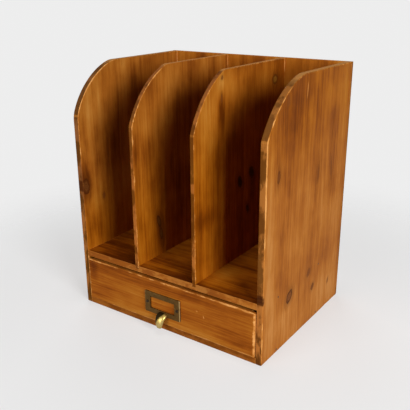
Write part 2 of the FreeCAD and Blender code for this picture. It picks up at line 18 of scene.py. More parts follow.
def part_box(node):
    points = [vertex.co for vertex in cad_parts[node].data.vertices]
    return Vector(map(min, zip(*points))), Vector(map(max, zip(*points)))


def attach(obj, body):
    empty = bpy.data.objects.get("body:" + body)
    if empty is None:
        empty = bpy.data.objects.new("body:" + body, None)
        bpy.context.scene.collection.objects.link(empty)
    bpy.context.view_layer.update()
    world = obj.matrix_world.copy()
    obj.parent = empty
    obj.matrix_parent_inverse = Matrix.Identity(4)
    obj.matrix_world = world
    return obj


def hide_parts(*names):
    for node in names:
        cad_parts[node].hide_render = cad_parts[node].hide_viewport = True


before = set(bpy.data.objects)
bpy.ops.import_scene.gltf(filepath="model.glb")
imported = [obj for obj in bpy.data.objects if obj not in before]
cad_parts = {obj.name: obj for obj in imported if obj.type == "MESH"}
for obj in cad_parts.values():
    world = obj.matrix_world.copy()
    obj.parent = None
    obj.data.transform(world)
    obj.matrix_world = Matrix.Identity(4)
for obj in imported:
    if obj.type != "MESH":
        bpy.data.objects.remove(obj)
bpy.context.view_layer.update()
LOG = logging.getLogger("organizer")

MM = 0.001
ARRIS = "arris"

Colour = tuple[float, float, float, float]
Shades = tuple[str, ...]
Span = tuple[float, float]
Socket = bpy.types.NodeSocket
Value = float | Socket
Place = Callable[[float, float, float], Vector]
Ring = list[bmesh.types.BMVert]


def paint(code: str) -> Colour:
    """Turns a colour as it is seen on screen into the linear one that shaders mix.

    Args:
        code: Six hexadecimal digits.

    Returns:
        Linear red, green and blue, with an alpha of 1.
    """
    seen = [int(code[start:start + 2], 16) / 255 for start in (0, 2, 4)]
    linear = [c / 12.92 if c <= 0.04045 else ((c + 0.055) / 1.055) ** 2.4 for c in seen]
    return linear[0], linear[1], linear[2], 1.0


def skin(build: bmesh.types.BMesh, rings: Sequence[Ring]) -> None:
    """Joins rings of vertices into a closed skin, with a cap at each end.

    Args:
        build: The mesh.
        rings: Rings in order, with as many vertices each.
    """
    for below, above in zip(rings, rings[1:]):
        for i in range(len(below)):
            j = (i + 1) % len(below)
            build.faces.new((below[i], below[j], above[j], above[i]))
    build.faces.new(rings[0][::-1])
    build.faces.new(rings[-1])


def settle(build: bmesh.types.BMesh, name: str, crease: float | None = None) -> bpy.types.Mesh:
    """Turns a build into a smooth mesh.

    Args:
        build: What was built, which is freed.
        name: The mesh's name.
        crease: The angle in degrees past which an edge stays sharp.

    Returns:
        The mesh.
    """
    mesh = bpy.data.meshes.new(name)
    build.to_mesh(mesh)
    build.free()
    mesh.shade_smooth()
    if crease:
        mesh.set_sharp_from_angle(angle=math.radians(crease))
    return mesh


class Axis(Enum):
    """The three directions of the organizer, by their index."""

    SIDEWAYS = 0
    DEPTH = 1
    HEIGHT = 2


class WearGuide(Enum):
    """Where a board's finish reads how worn its edges are."""

    ARRIS = "the arris value that a worn board carries"
    BOX = "the distance to the edges of the board's box"


class Graph:
    """A node tree, with a short method for each kind of node that the finishes use."""

    MIX_FIRST = 6
    MIX_SECOND = 7
    MIX_RESULT = 2

    def __init__(self, tree: bpy.types.NodeTree) -> None:
        """Takes a tree over."""
        self.tree = tree

    def feed(self, socket: Socket, value: object) -> None:
        """Links a socket to another one, or sets its value.

        Args:
            socket: The input.
            value: An output to link, or a plain value.
        """
        if isinstance(value, bpy.types.NodeSocket):
            self.tree.links.new(value, socket)
        else:
            socket.default_value = value

    def node(self, kind: str, feeds: dict[str | int, object] | None = None,
             **settings: object) -> bpy.types.Node:
        """Adds a node.

        Args:
            kind: The end of its type's name.
            feeds: What its inputs get, by their names or places.
            settings: Properties to set on it.

        Returns:
            The new node.
        """
        made = self.tree.nodes.new("ShaderNode" + kind)
        for key, value in settings.items():
            setattr(made, key, value)
        for key, value in (feeds or {}).items():
            self.feed(made.inputs[key], value)
        return made

    def apply(self, kind: str, *values: object, **settings: object) -> Socket:
        """Adds a node, feeds its inputs in order and gives its first output."""
        return self.node(kind, dict(enumerate(values)), **settings).outputs[0]

    def math(self, operation: str, *values: Value) -> Socket:
        """Adds a Math node of the given operation."""
        return self.apply("Math", *values, operation=operation)

    def times(self, first: Value, second: Value) -> Socket:
        """Multiplies two values."""
        return self.math("MULTIPLY", first, second)

    def total(self, *values: Value) -> Socket:
        """Adds any number of values up."""
        return reduce(partial(self.math, "ADD"), values)

    def swing(self, value: Socket, size: float) -> Socket:
        """Turns a value round one half into one round zero that swings by a given size."""
        return self.math("MULTIPLY_ADD", value, size, -size / 2)

    def weighted(self, pairs: Iterable[tuple[Socket, float]]) -> Value:
        """Adds values up, each times its weight."""
        return reduce(lambda known, pair: self.math("MULTIPLY_ADD", *pair, known), pairs, 0.0)

    def fade(self, value: Value, start: float, end: float) -> Socket:
        """Goes smoothly from 0 at start to 1 at end, which may also be the lower of the two."""
        feeds = {"Value": value, "From Min": start, "From Max": end}
        return self.node("MapRange", feeds, interpolation_type="SMOOTHSTEP").outputs["Result"]

    def split(self, vector: Socket) -> list[Socket]:
        """Gives a vector's three parts."""
        return list(self.node("SeparateXYZ", {"Vector": vector}).outputs)

    def join(self, first: Value, second: Value, third: Value) -> Socket:
        """Makes a vector from three parts."""
        return self.apply("CombineXYZ", first, second, third)

    def length(self, vector: Socket) -> Socket:
        """Measures a vector."""
        return self.node("VectorMath", {"Vector": vector}, operation="LENGTH").outputs["Value"]

    def ramp(self, value: Socket, shades: Sequence[str], places: Sequence[float] = ()) -> Socket:
        """Turns a value into a colour along a row of shades.

        Args:
            value: From 0 to 1.
            shades: The shades in order.
            places: Where each one is, or spread evenly from 0 to 1 when left out.

        Returns:
            The colour.
        """
        places = places or [step / (len(shades) - 1) for step in range(len(shades))]
        made = self.node("ValToRGB", {"Fac": value})
        stops = made.color_ramp.elements
        while len(stops) < len(shades):
            stops.new(1.0)
        for stop, place, shade in zip(stops, places, shades):
            stop.position = place
            stop.color = paint(shade)
        return made.outputs["Color"]

    def blend(self, share: Value, *pair: Socket | str) -> Socket:
        """Mixes two colours or plain shades, with the given share of the second.

        Args:
            share: How much of the second shows.
            pair: The two of them.

        Returns:
            The mixed colour.
        """
        first, second = (paint(colour) if isinstance(colour, str) else colour for colour in pair)
        feeds = {0: share, self.MIX_FIRST: first, self.MIX_SECOND: second}
        return self.node("Mix", feeds, data_type="RGBA").outputs[self.MIX_RESULT]

    def box_edge(self, point: Socket, low: Vector, high: Vector) -> Socket:
        """Gives the distance from a point on a box to the box's nearest edge.

        Args:
            point: The point, in object space.
            low: The box's lowest corner.
            high: The box's highest corner.

        Returns:
            The distance in metres.
        """
        depths = []
        for part, centre, reach in zip(self.split(point), (low + high) / 2, (high - low) / 2):
            off = self.math("ABSOLUTE", self.math("SUBTRACT", part, centre))
            depths.append(self.math("SUBTRACT", reach, off))
        worst = (self.math("MAXIMUM", *pair) for pair in combinations(depths, 2))
        return reduce(partial(self.math, "MINIMUM"), worst)


class Finish(Graph):
    """A material's graph, which starts with one Principled shader."""

    def __init__(self, name: str) -> None:
        """Starts the material.

        Args:
            name: Its name.
        """
        self.material = bpy.data.materials.new(name)
        self.material.use_nodes = True
        super().__init__(self.material.node_tree)
        self.tree.nodes.clear()
        self.output = self.node("OutputMaterial")
        self.shader = self.node("BsdfPrincipled")
        self.feed(self.output.inputs["Surface"], self.shader.outputs["BSDF"])
        self.place = self.node("TexCoord")
        self.point = self.place.outputs["Object"]

    def surface(self, colour: Socket, rough: Socket, height: Socket,
                relief: tuple[float, float]) -> bpy.types.Material:
        """Gives the shader its colour, its roughness and a bumpy surface.

        Args:
            colour: Its colour.
            rough: Its roughness.
            height: The surface's height, from 0 to 1.
            relief: What a height of 1 is, in metres, and how much of it shows.

        Returns:
            The finished material.
        """
        bump = self.node("Bump", {"Strength": relief[1], "Distance": relief[0], "Height": height})
        feeds = {"Base Color": colour, "Roughness": rough, "Normal": bump.outputs["Normal"]}
        for name, value in feeds.items():
            self.feed(self.shader.inputs[name], value)
        return self.material


@dataclass(frozen=True)
class Spot:
    """A place on a board's face, across and along the grain, and its reach each way, in mm."""

    across: float
    along: float
    wide: float
    tall: float

    def away(self, graph: Graph, flat: Socket, lean: float = 0.0) -> Socket:
        """Gives how far a point is from the middle of the spot, 1 on its rim, at the given lean."""
        middle, size = (self.across * MM, self.along * MM, 0), (self.wide * MM, self.tall * MM, 1)
        return graph.length(graph.apply("Mapping", flat, middle, (0, 0, lean), size, vector_type="TEXTURE"))


@dataclass(frozen=True)
class Knot(Spot):
    """A knot, which bends the grain round itself."""

    lean: float = 0.0
    dark: float = 0.8
    spread: float = 2.6
    heart: str = "7c431a"


@dataclass(frozen=True)
class Rub(Spot):
    """A spot where the stain is rubbed or chipped away."""

    lean: float = 0.0
    bare: float = 1.0


@dataclass(frozen=True)
class Cloud(Spot):
    """A soft patch painted darker or lighter: a stain on some boards, painted shade or light on others."""

    shift: float = 0.0

    def near(self, graph: Graph, flat: Socket) -> Socket:
        """Gives 1 in the middle of the patch and 0 past its rim."""
        return graph.fade(self.away(graph, flat), 1.0, 0.0)


@dataclass(frozen=True)
class Stretch:
    """A stretch of a board's edge, along the grain in mm, that is dirtier or cleaner than the rest."""

    CORE = 0.4

    along: float
    reach: float
    shift: float

    def near(self, graph: Graph, along: Socket) -> Socket:
        """Gives 1 in the middle of the stretch and 0 past its reach."""
        away = graph.math("ABSOLUTE", graph.math("SUBTRACT", along, self.along * MM))
        return graph.fade(away, self.reach * MM, self.reach * MM * self.CORE)


Mark = TypeVar("Mark", Knot, Rub, Cloud, Stretch)


def marks(kind: type[Mark], *rows: Sequence[float | str]) -> tuple[Mark, ...]:
    """Makes marks of one kind from rows of their values."""
    return tuple(kind(*row) for row in rows)


@dataclass(frozen=True)
class Noise:
    """A noise: its spots to the metre in each direction, its shift, its octaves and their roughness."""

    stretch: tuple[float, ...]
    shift: float
    detail: float = 2.0
    rough: float = 0.5

    def on(self, graph: Graph, point: Socket, seed: float = 0.0) -> Socket:
        """Reads the noise.

        Args:
            graph: The material's graph.
            point: Where it is read.
            seed: Moves it, so that boards differ.

        Returns:
            The noise, round 0.5.
        """
        shift = seed + self.shift
        moved = (shift, shift * 1.7, shift * 0.6)
        placed = graph.apply("Mapping", point, moved, (0, 0, 0), self.stretch, vector_type="POINT")
        feeds = {"Vector": placed, "Scale": 1.0, "Detail": self.detail, "Roughness": self.rough}
        return graph.node("TexNoise", feeds, noise_dimensions="3D").outputs["Fac"]


BROAD = Noise((30, 30, 1.3), 0, 3.0)
STREAK = Noise((115, 115, 3.4), 5, 3.0, 0.6)
LINE = Noise((560, 560, 11), 9)
FIBRE = Noise((2400, 2400, 60), 2, 1.0)
SWAY = Noise((7, 7, 2.2), 4, 1.0)
PATCHY = Noise((75, 75, 24), 8, 4.0, 0.6)
RAGGED = Noise((170, 170, 60), 6, 5.0, 0.75)
BLOTCH = Noise((11, 11, 11), 3, 4.0, 0.55)
UNEVEN = Noise((240, 240, 1), 0, 1.0)

WARM: Shades = ("6c3305", "8d4a0c", "aa6117", "ba7323", "c98736")
MILD: Shades = ("6c340a", "8d4b12", "aa631d", "ba752a", "c9893d")
DRY: Shades = ("6c350f", "8d4c18", "ab6322", "bd752f", "cc8844")
RICH: Shades = ("6c3202", "8d4805", "aa5f0d", "ba7118", "c9852a")
DEEP: Shades = ("582401", "7a3a03", "a85d0c", "ba7118", "c9852a")
RUDDY: Shades = ("662d04", "864209", "9f5512", "ae661b", "ba7629")


@dataclass(frozen=True)
class StainedPine:
    """Pine under an old warm stain, rubbed bare along its edges."""

    node: str
    grain: Axis
    across: Axis
    seed: float
    pith: tuple[float, float] = (0.02, 0.09)
    tone: float = 0.53
    knots: tuple[Knot, ...] = ()
    clouds: tuple[Cloud, ...] = ()
    rubs: tuple[Rub, ...] = ()
    stretches: tuple[Stretch, ...] = ()
    guide: WearGuide = WearGuide.ARRIS
    wear_reach: float = 1.2 * MM
    ring_gap: float = 4.2 * MM
    dash: Noise = Noise((300, 300, 30), 1, 3.0, 0.6)
    dash_swing: float = 0.6
    shades: Shades = WARM
    top_shades: Shades = ()
    top_span: Span = (0.2, 0.32)
    edge_share: float = 0.75
    edge_shades: tuple[str, str] = ("44220a", "a86e2e")
    edge_patch: tuple[float, float] = (60, 34)
    edge_span: Span = (0.8, 0.3)
    mottle_span: Span = (0.43, 0.57)
    foot_shade: str = "c47a38"
    foot_span: Span = (0.2, 0.09)
    curve_shade: str = "5c4630"
    curve_span: Span = (0.25, 0.6)
    # End grain, paler than the faces; on the tops this paleness is partly painted light from above.
    end_grain_and_top_light: str = "dc9a52"
    end_span: Span = (0.88, 1.0)
    knot_shade: str = "4d2307"
    knot_bend: float = 0.85
    knot_halo: float = 0.38
    knot_waves: float = 17.0
    pore_shade: str = "3f2009"
    pore_span: Span = (0.6, 0.74)
    arris_span: Span = (0.35, 0.9)
    box_span: Span = (1.0, 0.2)
    rub_span: Span = (1.1, 0.6)
    bare_shades: Shades = ("b06a24", "cc853c", "e8a862")
    bare_places: tuple[float, ...] = (0.1, 0.55, 1.0)
    gloss: float = 0.05
    relief: tuple[float, float] = (0.12 * MM, 0.35)

    def coat(self) -> bpy.types.Material:
        """Builds the board's material."""
        return PineGraph(self).coat()


class PineGraph(Finish):
    """The graph of a board's stained pine."""

    def __init__(self, pine: StainedPine) -> None:
        """Starts the material and finds a point's place across, through and along the board.

        Args:
            pine: The board's finish.
        """
        super().__init__(pine.node + "_pine")
        self.pine = pine
        self.through = next(axis for axis in Axis if axis not in (pine.grain, pine.across))
        parts = self.split(self.point)
        self.wide, self.deep, self.along = (
            parts[axis.value] for axis in (pine.across, self.through, pine.grain))
        self.flat = self.join(self.wide, self.along, 0.0)

    def _knots(self) -> tuple[Socket, list[tuple[Socket, Socket, str]]]:
        """Bends the grain round the knots and finds what they darken.

        Returns:
            The bent place across the grain, and each knot's mask, its heart's mask and its heart's shade.
        """
        pine, bent, found = self.pine, self.wide, []
        if not pine.knots:
            return bent, found
        uneven = self.swing(UNEVEN.on(self, self.flat, pine.seed), 0.5)
        for knot in pine.knots:
            away = self.total(knot.away(self, self.flat, knot.lean), uneven)
            near = self.times(self.fade(away, knot.spread, 0.5), pine.knot_bend)
            beside = self.math("SUBTRACT", self.wide, knot.across * MM)
            bent = self.math("SUBTRACT", bent, self.times(beside, near))
            ring = self.times(self.fade(away, 1.25, 0.9), knot.dark)
            halo = self.times(self.fade(away, knot.spread, 0.8), knot.dark * pine.knot_halo)
            wave = self.math("SINE", self.times(away, pine.knot_waves))
            heart = self.times(self.fade(away, 0.9, 0.45), self.math("MULTIPLY_ADD", wave, 0.22, 0.7))
            found.append((self.math("MAXIMUM", ring, halo), heart, knot.heart))
        return bent, found

    def _worn(self, ragged: Socket) -> Socket:
        """Finds where the stain is rubbed away.

        Args:
            ragged: A noise that breaks the worn line up.

        Returns:
            How bare the wood is, from 0 to 1.
        """
        pine = self.pine
        if pine.guide is WearGuide.ARRIS:
            read = self.node("Attribute", attribute_type="GEOMETRY", attribute_name=ARRIS)
            worn = self.fade(self.total(read.outputs["Fac"], self.swing(ragged, 1.5)), *pine.arris_span)
        else:
            away = self.math("DIVIDE", self.box_edge(self.point, *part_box(pine.node)), pine.wear_reach)
            worn = self.times(self.fade(self.total(away, self.swing(ragged, 1.6)), *pine.box_span), 0.85)
        for rub in pine.rubs:
            away = self.total(rub.away(self, self.flat, rub.lean), self.swing(ragged, 1.2))
            worn = self.math("MAXIMUM", worn, self.times(self.fade(away, *pine.rub_span), rub.bare))
        return worn

    def _late(self, bent: Socket, sway: Socket, wander: Socket) -> Socket:
        """Finds the late wood, the dark half of each year's ring.

        Args:
            bent: Place across the grain, bent round the knots.
            sway: A noise that moves the pith along the board.
            wander: How many rings the count wanders by.

        Returns:
            How late the wood is, from 0 to 1.
        """
        beside = self.total(bent, -self.pine.pith[0], self.swing(sway, 0.05))
        below = self.total(self.deep, self.pine.pith[1])
        squares = self.total(self.times(beside, beside), self.times(below, below))
        rings = self.math("DIVIDE", self.math("SQRT", squares), self.pine.ring_gap)
        turn = self.math("FRACT", self.total(rings, wander))
        return self.times(self.fade(turn, 0.1, 0.85), self.fade(turn, 1.0, 0.9))

    def _grime(self, upward: Socket) -> Socket:
        """Paints the board's edges, mottled with dirt and browned where an upright curves.

        Args:
            upward: How far the surface faces along the grain.

        Returns:
            The edges' colour.
        """
        pine = self.pine
        patch = tuple(pine.edge_patch[axis is pine.grain] for axis in Axis)
        spots = Noise(patch, 7, 5.0, 0.65).on(self, self.point, pine.seed)
        soiled = self.weighted((dirt.near(self, self.along), dirt.shift) for dirt in pine.stretches)
        mottle = self.fade(self.total(spots, soiled), *pine.mottle_span)
        dirty, clean = pine.edge_shades
        if pine.grain is not Axis.HEIGHT:
            return self.blend(mottle, dirty, clean)
        low = self.times(self.fade(self.along, *pine.foot_span), 0.5)
        grime = self.blend(mottle, dirty, self.blend(low, clean, pine.foot_shade))
        return self.blend(self.times(self.fade(upward, *pine.curve_span), 0.3), grime, pine.curve_shade)

    def coat(self) -> bpy.types.Material:
        """Builds the finish.

        Returns:
            The board's material.
        """
        pine = self.pine
        bent, knots = self._knots()
        wood = self.join(bent, self.deep, self.along)
        figures = (BROAD, STREAK, LINE, FIBRE, SWAY, PATCHY, RAGGED, pine.dash)
        broad, streak, line, fibre, sway, patchy, ragged, dash = (
            figure.on(self, wood, pine.seed) for figure in figures)
        blotch = BLOTCH.on(self, self.point, pine.seed)
        late = self._late(bent, sway, self.total(self.swing(broad, 5.0), self.swing(streak, 1.1)))

        facing = self.split(self.place.outputs["Normal"])
        edge = self.fade(self.math("ABSOLUTE", facing[self.through.value]), *pine.edge_span)
        upward = self.math("ABSOLUTE", facing[pine.grain.value])
        clouded = self.weighted((cloud.near(self, self.flat), cloud.shift) for cloud in pine.clouds)
        swings = ((broad, 0.9), (streak, 0.42), (line, 0.18), (blotch, 1.15), (patchy, 0.5),
                  (dash, pine.dash_swing))
        tone = self.total(*(self.swing(*swing) for swing in swings), self.times(late, -0.09), pine.tone,
                          self.times(self.math("SUBTRACT", 1.0, edge), clouded))
        colour = self.ramp(tone, pine.shades)
        if pine.top_shades:
            upper = self.ramp(tone, pine.top_shades)
            colour = self.blend(self.fade(self.along, *pine.top_span), colour, upper)

        colour = self.blend(self.times(edge, pine.edge_share), colour, self._grime(upward))
        # Paler end grain; on the tops part of this paleness is painted light from above.
        colour = self.blend(self.times(self.fade(upward, *pine.end_span), 0.75), colour, pine.end_grain_and_top_light)
        for shadow, heart, shade in knots:
            colour = self.blend(heart, self.blend(shadow, colour, pine.knot_shade), shade)
        colour = self.blend(self.times(self.fade(fibre, *pine.pore_span), 0.22), colour, pine.pore_shade)

        worn = self._worn(ragged)
        paleness = self.total(self.times(worn, 0.75), self.swing(ragged, 1.5), self.swing(line, 0.5))
        colour = self.blend(worn, colour, self.ramp(paleness, pine.bare_shades, pine.bare_places))
        rough = self.total(self.swing(line, 0.16), self.swing(blotch, 0.2), self.times(worn, 0.15),
                           self.times(edge, 0.4), 0.58)
        height = self.total(self.times(fibre, 0.45), self.times(line, 0.5), self.times(late, 0.2))
        self.shader.inputs["Specular IOR Level"].default_value = pine.gloss
        return self.surface(colour, rough, height, pine.relief)


@dataclass(frozen=True)
class OldBrass:
    """Brass with a brown bloom that is rubbed off where it is touched; on the frame the rubbed edge also
    paints a highlight, and on the pull the darker way also paints shade.
    """

    name: str
    shades: Shades
    bloom: float
    gloss: float
    blotch: float = 1.2
    box: tuple[Vector, Vector] | None = None
    rub: float = 1.1 * MM
    patina_and_shade_way: Vector | None = None
    patina_and_shade_span: Span = (0.0, 1.0)
    places: tuple[float, ...] = (0.0, 0.55, 1.0)
    clouds: Noise = Noise((130, 130, 130), 3.0, 4.0, 0.6)
    specks: Noise = Noise((1300, 1300, 1300), 8.0)
    scratches: Noise = Noise((300, 900, 2600), 1.0)
    relief: tuple[float, float] = (0.05 * MM, 0.3)

    def coat(self) -> bpy.types.Material:
        """Builds the finish.

        Returns:
            The metal's material.
        """
        graph = Finish(self.name)
        cloud, speck, scratch = (
            kind.on(graph, graph.point) for kind in (self.clouds, self.specks, self.scratches))
        tarnish = graph.total(graph.swing(cloud, self.blotch), graph.swing(speck, 0.5), self.bloom)
        # Darker along a given way: patina, and on the pull also painted shade.
        if self.patina_and_shade_way:
            way = graph.node("VectorMath", {0: graph.point, 1: self.patina_and_shade_way}, operation="DOT_PRODUCT")
            tarnish = graph.total(tarnish, graph.fade(way.outputs["Value"], *self.patina_and_shade_span))
        colour = graph.ramp(tarnish, self.shades, self.places)
        dull = graph.times(graph.fade(tarnish, 0.2, 1.0), 0.28)
        rough = graph.total(dull, graph.swing(scratch, 0.18), self.gloss)
        # Paler brass near the box edges: rubbed edges, which on the frame are placed to also paint a
        # highlight.
        if self.box:
            away = graph.math("DIVIDE", graph.box_edge(graph.point, *self.box), self.rub)
            rubbed = graph.fade(graph.total(away, graph.swing(cloud, 1.4)), 1.0, 0.1)
            colour = graph.blend(graph.times(rubbed, 0.75), colour, self.shades[0])
            rough = graph.math("SUBTRACT", rough, graph.times(rubbed, 0.1))
        height = graph.total(graph.times(speck, 0.6), graph.times(scratch, 0.4))
        graph.shader.inputs["Metallic"].default_value = 1.0
        return graph.surface(colour, rough, height, self.relief)


@dataclass(frozen=True)
class DarkIron:
    """Nail and screw iron, browned with age."""

    name: str
    shades: Shades = ("4a3a2c", "2a190e")
    places: tuple[float, ...] = (0.35, 0.65)
    clouds: Noise = Noise((700, 700, 700), 2.0, 4.0, 0.65)
    relief: tuple[float, float] = (0.08 * MM, 0.4)

    def coat(self) -> bpy.types.Material:
        """Builds the finish.

        Returns:
            The metal's material.
        """
        graph = Finish(self.name)
        cloud = self.clouds.on(graph, graph.point)
        colour = graph.ramp(cloud, self.shades, self.places)
        rough = graph.total(graph.swing(cloud, 0.5), 0.52)
        graph.shader.inputs["Metallic"].default_value = 0.7
        return graph.surface(colour, rough, cloud, self.relief)


@dataclass(frozen=True)
class Corner:
    """A corner of a board's outline, and how far the run that leaves it bows outwards."""

    across: float
    along: float
    radius: float
    bulge: float = 0.0


@dataclass(frozen=True)
class Arris:
    """How round one run of an edge is, how far bare wood runs on to the face, and how bare it is."""

    radius: float
    reach: float
    wear: tuple[float, ...]

    def wear_at(self, share: float) -> float:
        """Gives how bare the edge is on its way.

        Args:
            share: The share of its run that is behind.

        Returns:
            How bare it is there, 1 for fully bare.
        """
        last = len(self.wear) - 1
        place = share * last
        before = int(place)
        after = min(before + 1, last)
        return self.wear[before] + (self.wear[after] - self.wear[before]) * (place - before)


@dataclass(frozen=True)
class EdgePoint:
    """A point of an outline: its place, the way out of the board, its run, its share of it, its distance."""

    at: Vector
    out: Vector
    run: int
    share: float
    walked: float


class Run:
    """One side of an outline: a straight line, or an arc that bows outwards."""

    def __init__(self, first: Corner, last: Corner) -> None:
        """Measures the run.

        Args:
            first: The corner that it leaves.
            last: The corner that it reaches.
        """
        self.start = Vector((first.across, first.along))
        self.end = Vector((last.across, last.along))
        chord = self.end - self.start
        self.ahead = chord.normalized()
        self.half_turn = 0.0
        self.length = chord.length
        if first.bulge:
            self.half_turn = 2 * math.atan2(first.bulge, chord.length / 2)
            self.radius = chord.length / (2 * math.sin(self.half_turn))
            self.length = 2 * self.half_turn * self.radius
            inward = Vector((-self.ahead.y, self.ahead.x))
            self.middle = (self.start + self.end) / 2 + inward * (self.radius - first.bulge)

    def heading(self, walked: float) -> Vector:
        """Gives the direction of travel at a distance along the run."""
        lean = self.half_turn * (2 * walked / self.length - 1)
        return Matrix.Rotation(lean, 2) @ self.ahead

    def at(self, walked: float) -> Vector:
        """Finds a point of the run.

        Args:
            walked: Its distance along the run.

        Returns:
            The point.
        """
        if not self.half_turn:
            return self.start + self.ahead * walked
        ahead = self.heading(walked)
        return self.middle + Vector((ahead.y, -ahead.x)) * self.radius


class WornBoard:
    """A board whose arrises are rubbed round by different amounts along their length."""

    STEP = 3.0 * MM
    BEND_STEPS = 6
    TURN_STEPS = 5
    WANDER = 0.28
    SLOW_WAVES = 22
    QUICK_WAVES = 120
    DENTS = 9
    DENT_WIDTH = (1.5, 5.0)
    DENT_DEPTH = (0.1, 0.45)
    FACE_REACH = 0.4
    FACE_WEAR = 0.4
    EDGE_REACH = 0.15
    EDGE_WEAR = 0.25
    TURN_WEAR = 0.55
    MOST_SHARE = 1.05
    SHARE_DROP = 0.3
    MOST_ROUND = 0.68
    MOST_WORN = 1.4
    SMOOTHINGS = 3

    def __init__(self, corners: Sequence[Corner], low: Sequence[Arris], high: Sequence[Arris],
                 depth: tuple[float, float], place: Place, seed: int) -> None:
        """Lays the board out.

        Args:
            corners: Corners of its outline, anticlockwise.
            low: The arris on its low face for each run of the outline.
            high: The arris on its high face for each run.
            depth: Where its low and high faces are.
            place: Turns across, along and depth into a point of the organizer.
            seed: Chooses its dents.
        """
        self.points = self._walk(corners)
        self.place = place
        self.depth = depth
        self.low_corner = Vector(min(p.at[i] for p in self.points) for i in range(2))
        self.high_corner = Vector(max(p.at[i] for p in self.points) for i in range(2))
        self.rounds = [self._rounds(arrises, seed + side) for side, arrises in enumerate((low, high))]

    def _walk(self, corners: Sequence[Corner]) -> list[EdgePoint]:
        """Walks round the outline, with its corners rounded.

        Args:
            corners: The outline's corners in order.

        Returns:
            The points of the closed outline.
        """
        runs = [Run(corner, corners[(index + 1) % len(corners)]) for index, corner in enumerate(corners)]
        trims = []
        for index, corner in enumerate(corners):
            before = runs[index - 1]
            turn = before.heading(before.length).angle(runs[index].heading(0.0))
            trims.append(corner.radius * math.tan(turn / 2))
        points: list[tuple[Vector, int, float]] = []
        for index, run in enumerate(runs):
            before, trim, last_trim = runs[index - 1], trims[index], trims[(index + 1) % len(runs)]
            leave, reach = before.at(before.length - trim), run.at(trim)
            for part in range(1, self.BEND_STEPS):
                share = part / self.BEND_STEPS
                bend = leave.lerp(run.start, share).lerp(run.start.lerp(reach, share), share)
                points.append((bend, index, 0.0))
            plain = run.length - trim - last_trim
            count = max(2, math.ceil(plain / self.STEP))
            shares = [part / count for part in range(count + 1)]
            points += [(run.at(trim + plain * share), index, share) for share in shares]
        walked, result = 0.0, []
        for index, (at, run_index, share) in enumerate(points):
            before, after = points[index - 1][0], points[(index + 1) % len(points)][0]
            ahead = ((at - before).normalized() + (after - at).normalized()).normalized()
            walked += (at - before).length if index else 0.0
            result.append(EdgePoint(at, Vector((ahead.y, -ahead.x)), run_index, share, walked))
        return result

    def _rounds(self, arrises: Sequence[Arris], seed: int) -> list[tuple[float, float, float]]:
        """Finds how round and how bare the arris is at each point.

        Args:
            arrises: The arris of each run.
            seed: Chooses the dents.

        Returns:
            A radius, a wear and a reach on to the face for each point.
        """
        draw = random.Random(seed)
        girth = self.points[-1].walked
        dents = [(draw.uniform(0, girth), draw.uniform(*self.DENT_WIDTH) * MM, draw.uniform(*self.DENT_DEPTH))
                 for _ in range(self.DENTS)]
        most = self.MOST_ROUND * (self.depth[1] - self.depth[0])
        rounds = []
        for point in self.points:
            arris = arrises[point.run]
            slow = noise.noise(Vector((point.walked * self.SLOW_WAVES, seed * 3.1, 0)))
            quick = noise.noise(Vector((point.walked * self.QUICK_WAVES, seed * 3.1, 5)))
            dent = sum(deep * math.exp(-((point.walked - at) / wide) ** 2) for at, wide, deep in dents)
            radius = min(arris.radius * (1 + self.WANDER * (slow + 0.5 * quick) + dent), most)
            wear = arris.wear_at(point.share) * (1 + 0.3 * slow + 0.3 * quick + 0.5 * dent)
            rounds.append(Vector((radius, wear, arris.reach)))
        for _ in range(self.SMOOTHINGS):
            after = rounds[1:] + rounds[:1]
            rounds = [(rounds[i - 1] + 2 * here + after[i]) / 4 for i, here in enumerate(rounds)]
        return [tuple(here) for here in rounds]

    def _inset(self, point: EdgePoint, distance: float) -> Vector:
        """Moves an outline point into the board, and no nearer than that to its other sides.

        Args:
            point: The outline point.
            distance: How far it moves.

        Returns:
            The moved point.
        """
        moved = point.at - point.out * distance
        for axis in range(2):
            least, most = self.low_corner[axis] + distance, self.high_corner[axis] - distance
            moved[axis] = min(max(moved[axis], least), most)
        return moved

    def _loops(self, side: int) -> list[list[tuple[Vector, float]]]:
        """Lays the loops of one face, from inside the face to the middle of the edge.

        Args:
            side: 0 for the low face, 1 for the high one.

        Returns:
            Loops of places and wear.
        """
        face, into, rounds = self.depth[side], (1, -1)[side], self.rounds[side]
        plain = max(radius + reach for radius, _, reach in rounds)
        profile = [(lambda r, d: (plain, 0.0), 0.0),
                   (lambda r, d: (r + d * self.FACE_REACH, 0.0), self.FACE_WEAR)]
        for step in range(self.TURN_STEPS + 1):
            angle = math.pi / 2 * step / self.TURN_STEPS
            crest = self.TURN_WEAR + (1 - self.TURN_WEAR) * math.sin(2 * angle)
            share = crest * (self.MOST_SHARE - self.SHARE_DROP * step / self.TURN_STEPS)
            profile.append((lambda r, d, a=angle: (r * (1 - math.sin(a)), r * (1 - math.cos(a))), share))
        profile.append((lambda r, d: (0.0, r + d * self.EDGE_REACH), self.EDGE_WEAR))
        loops = []
        for shift, share in profile:
            loop = []
            for point, (radius, wear, reach) in zip(self.points, rounds):
                inset, sink = shift(radius, reach)
                at = self._inset(point, inset)
                loop.append((Vector((at.x, at.y, face + into * sink)), wear * share))
            loops.append(loop)
        return loops

    def add_to(self, build: bmesh.types.BMesh) -> None:
        """Adds the board to a mesh.

        Args:
            build: The mesh, with a layer for the arris.
        """
        arris = build.verts.layers.float[ARRIS]
        rings = []
        for loop in self._loops(0) + self._loops(1)[::-1]:
            ring = []
            for at, wear in loop:
                vertex = build.verts.new(self.place(*at))
                vertex[arris] = min(max(wear, 0.0), self.MOST_WORN)
                ring.append(vertex)
            rings.append(ring)
        skin(build, rings)


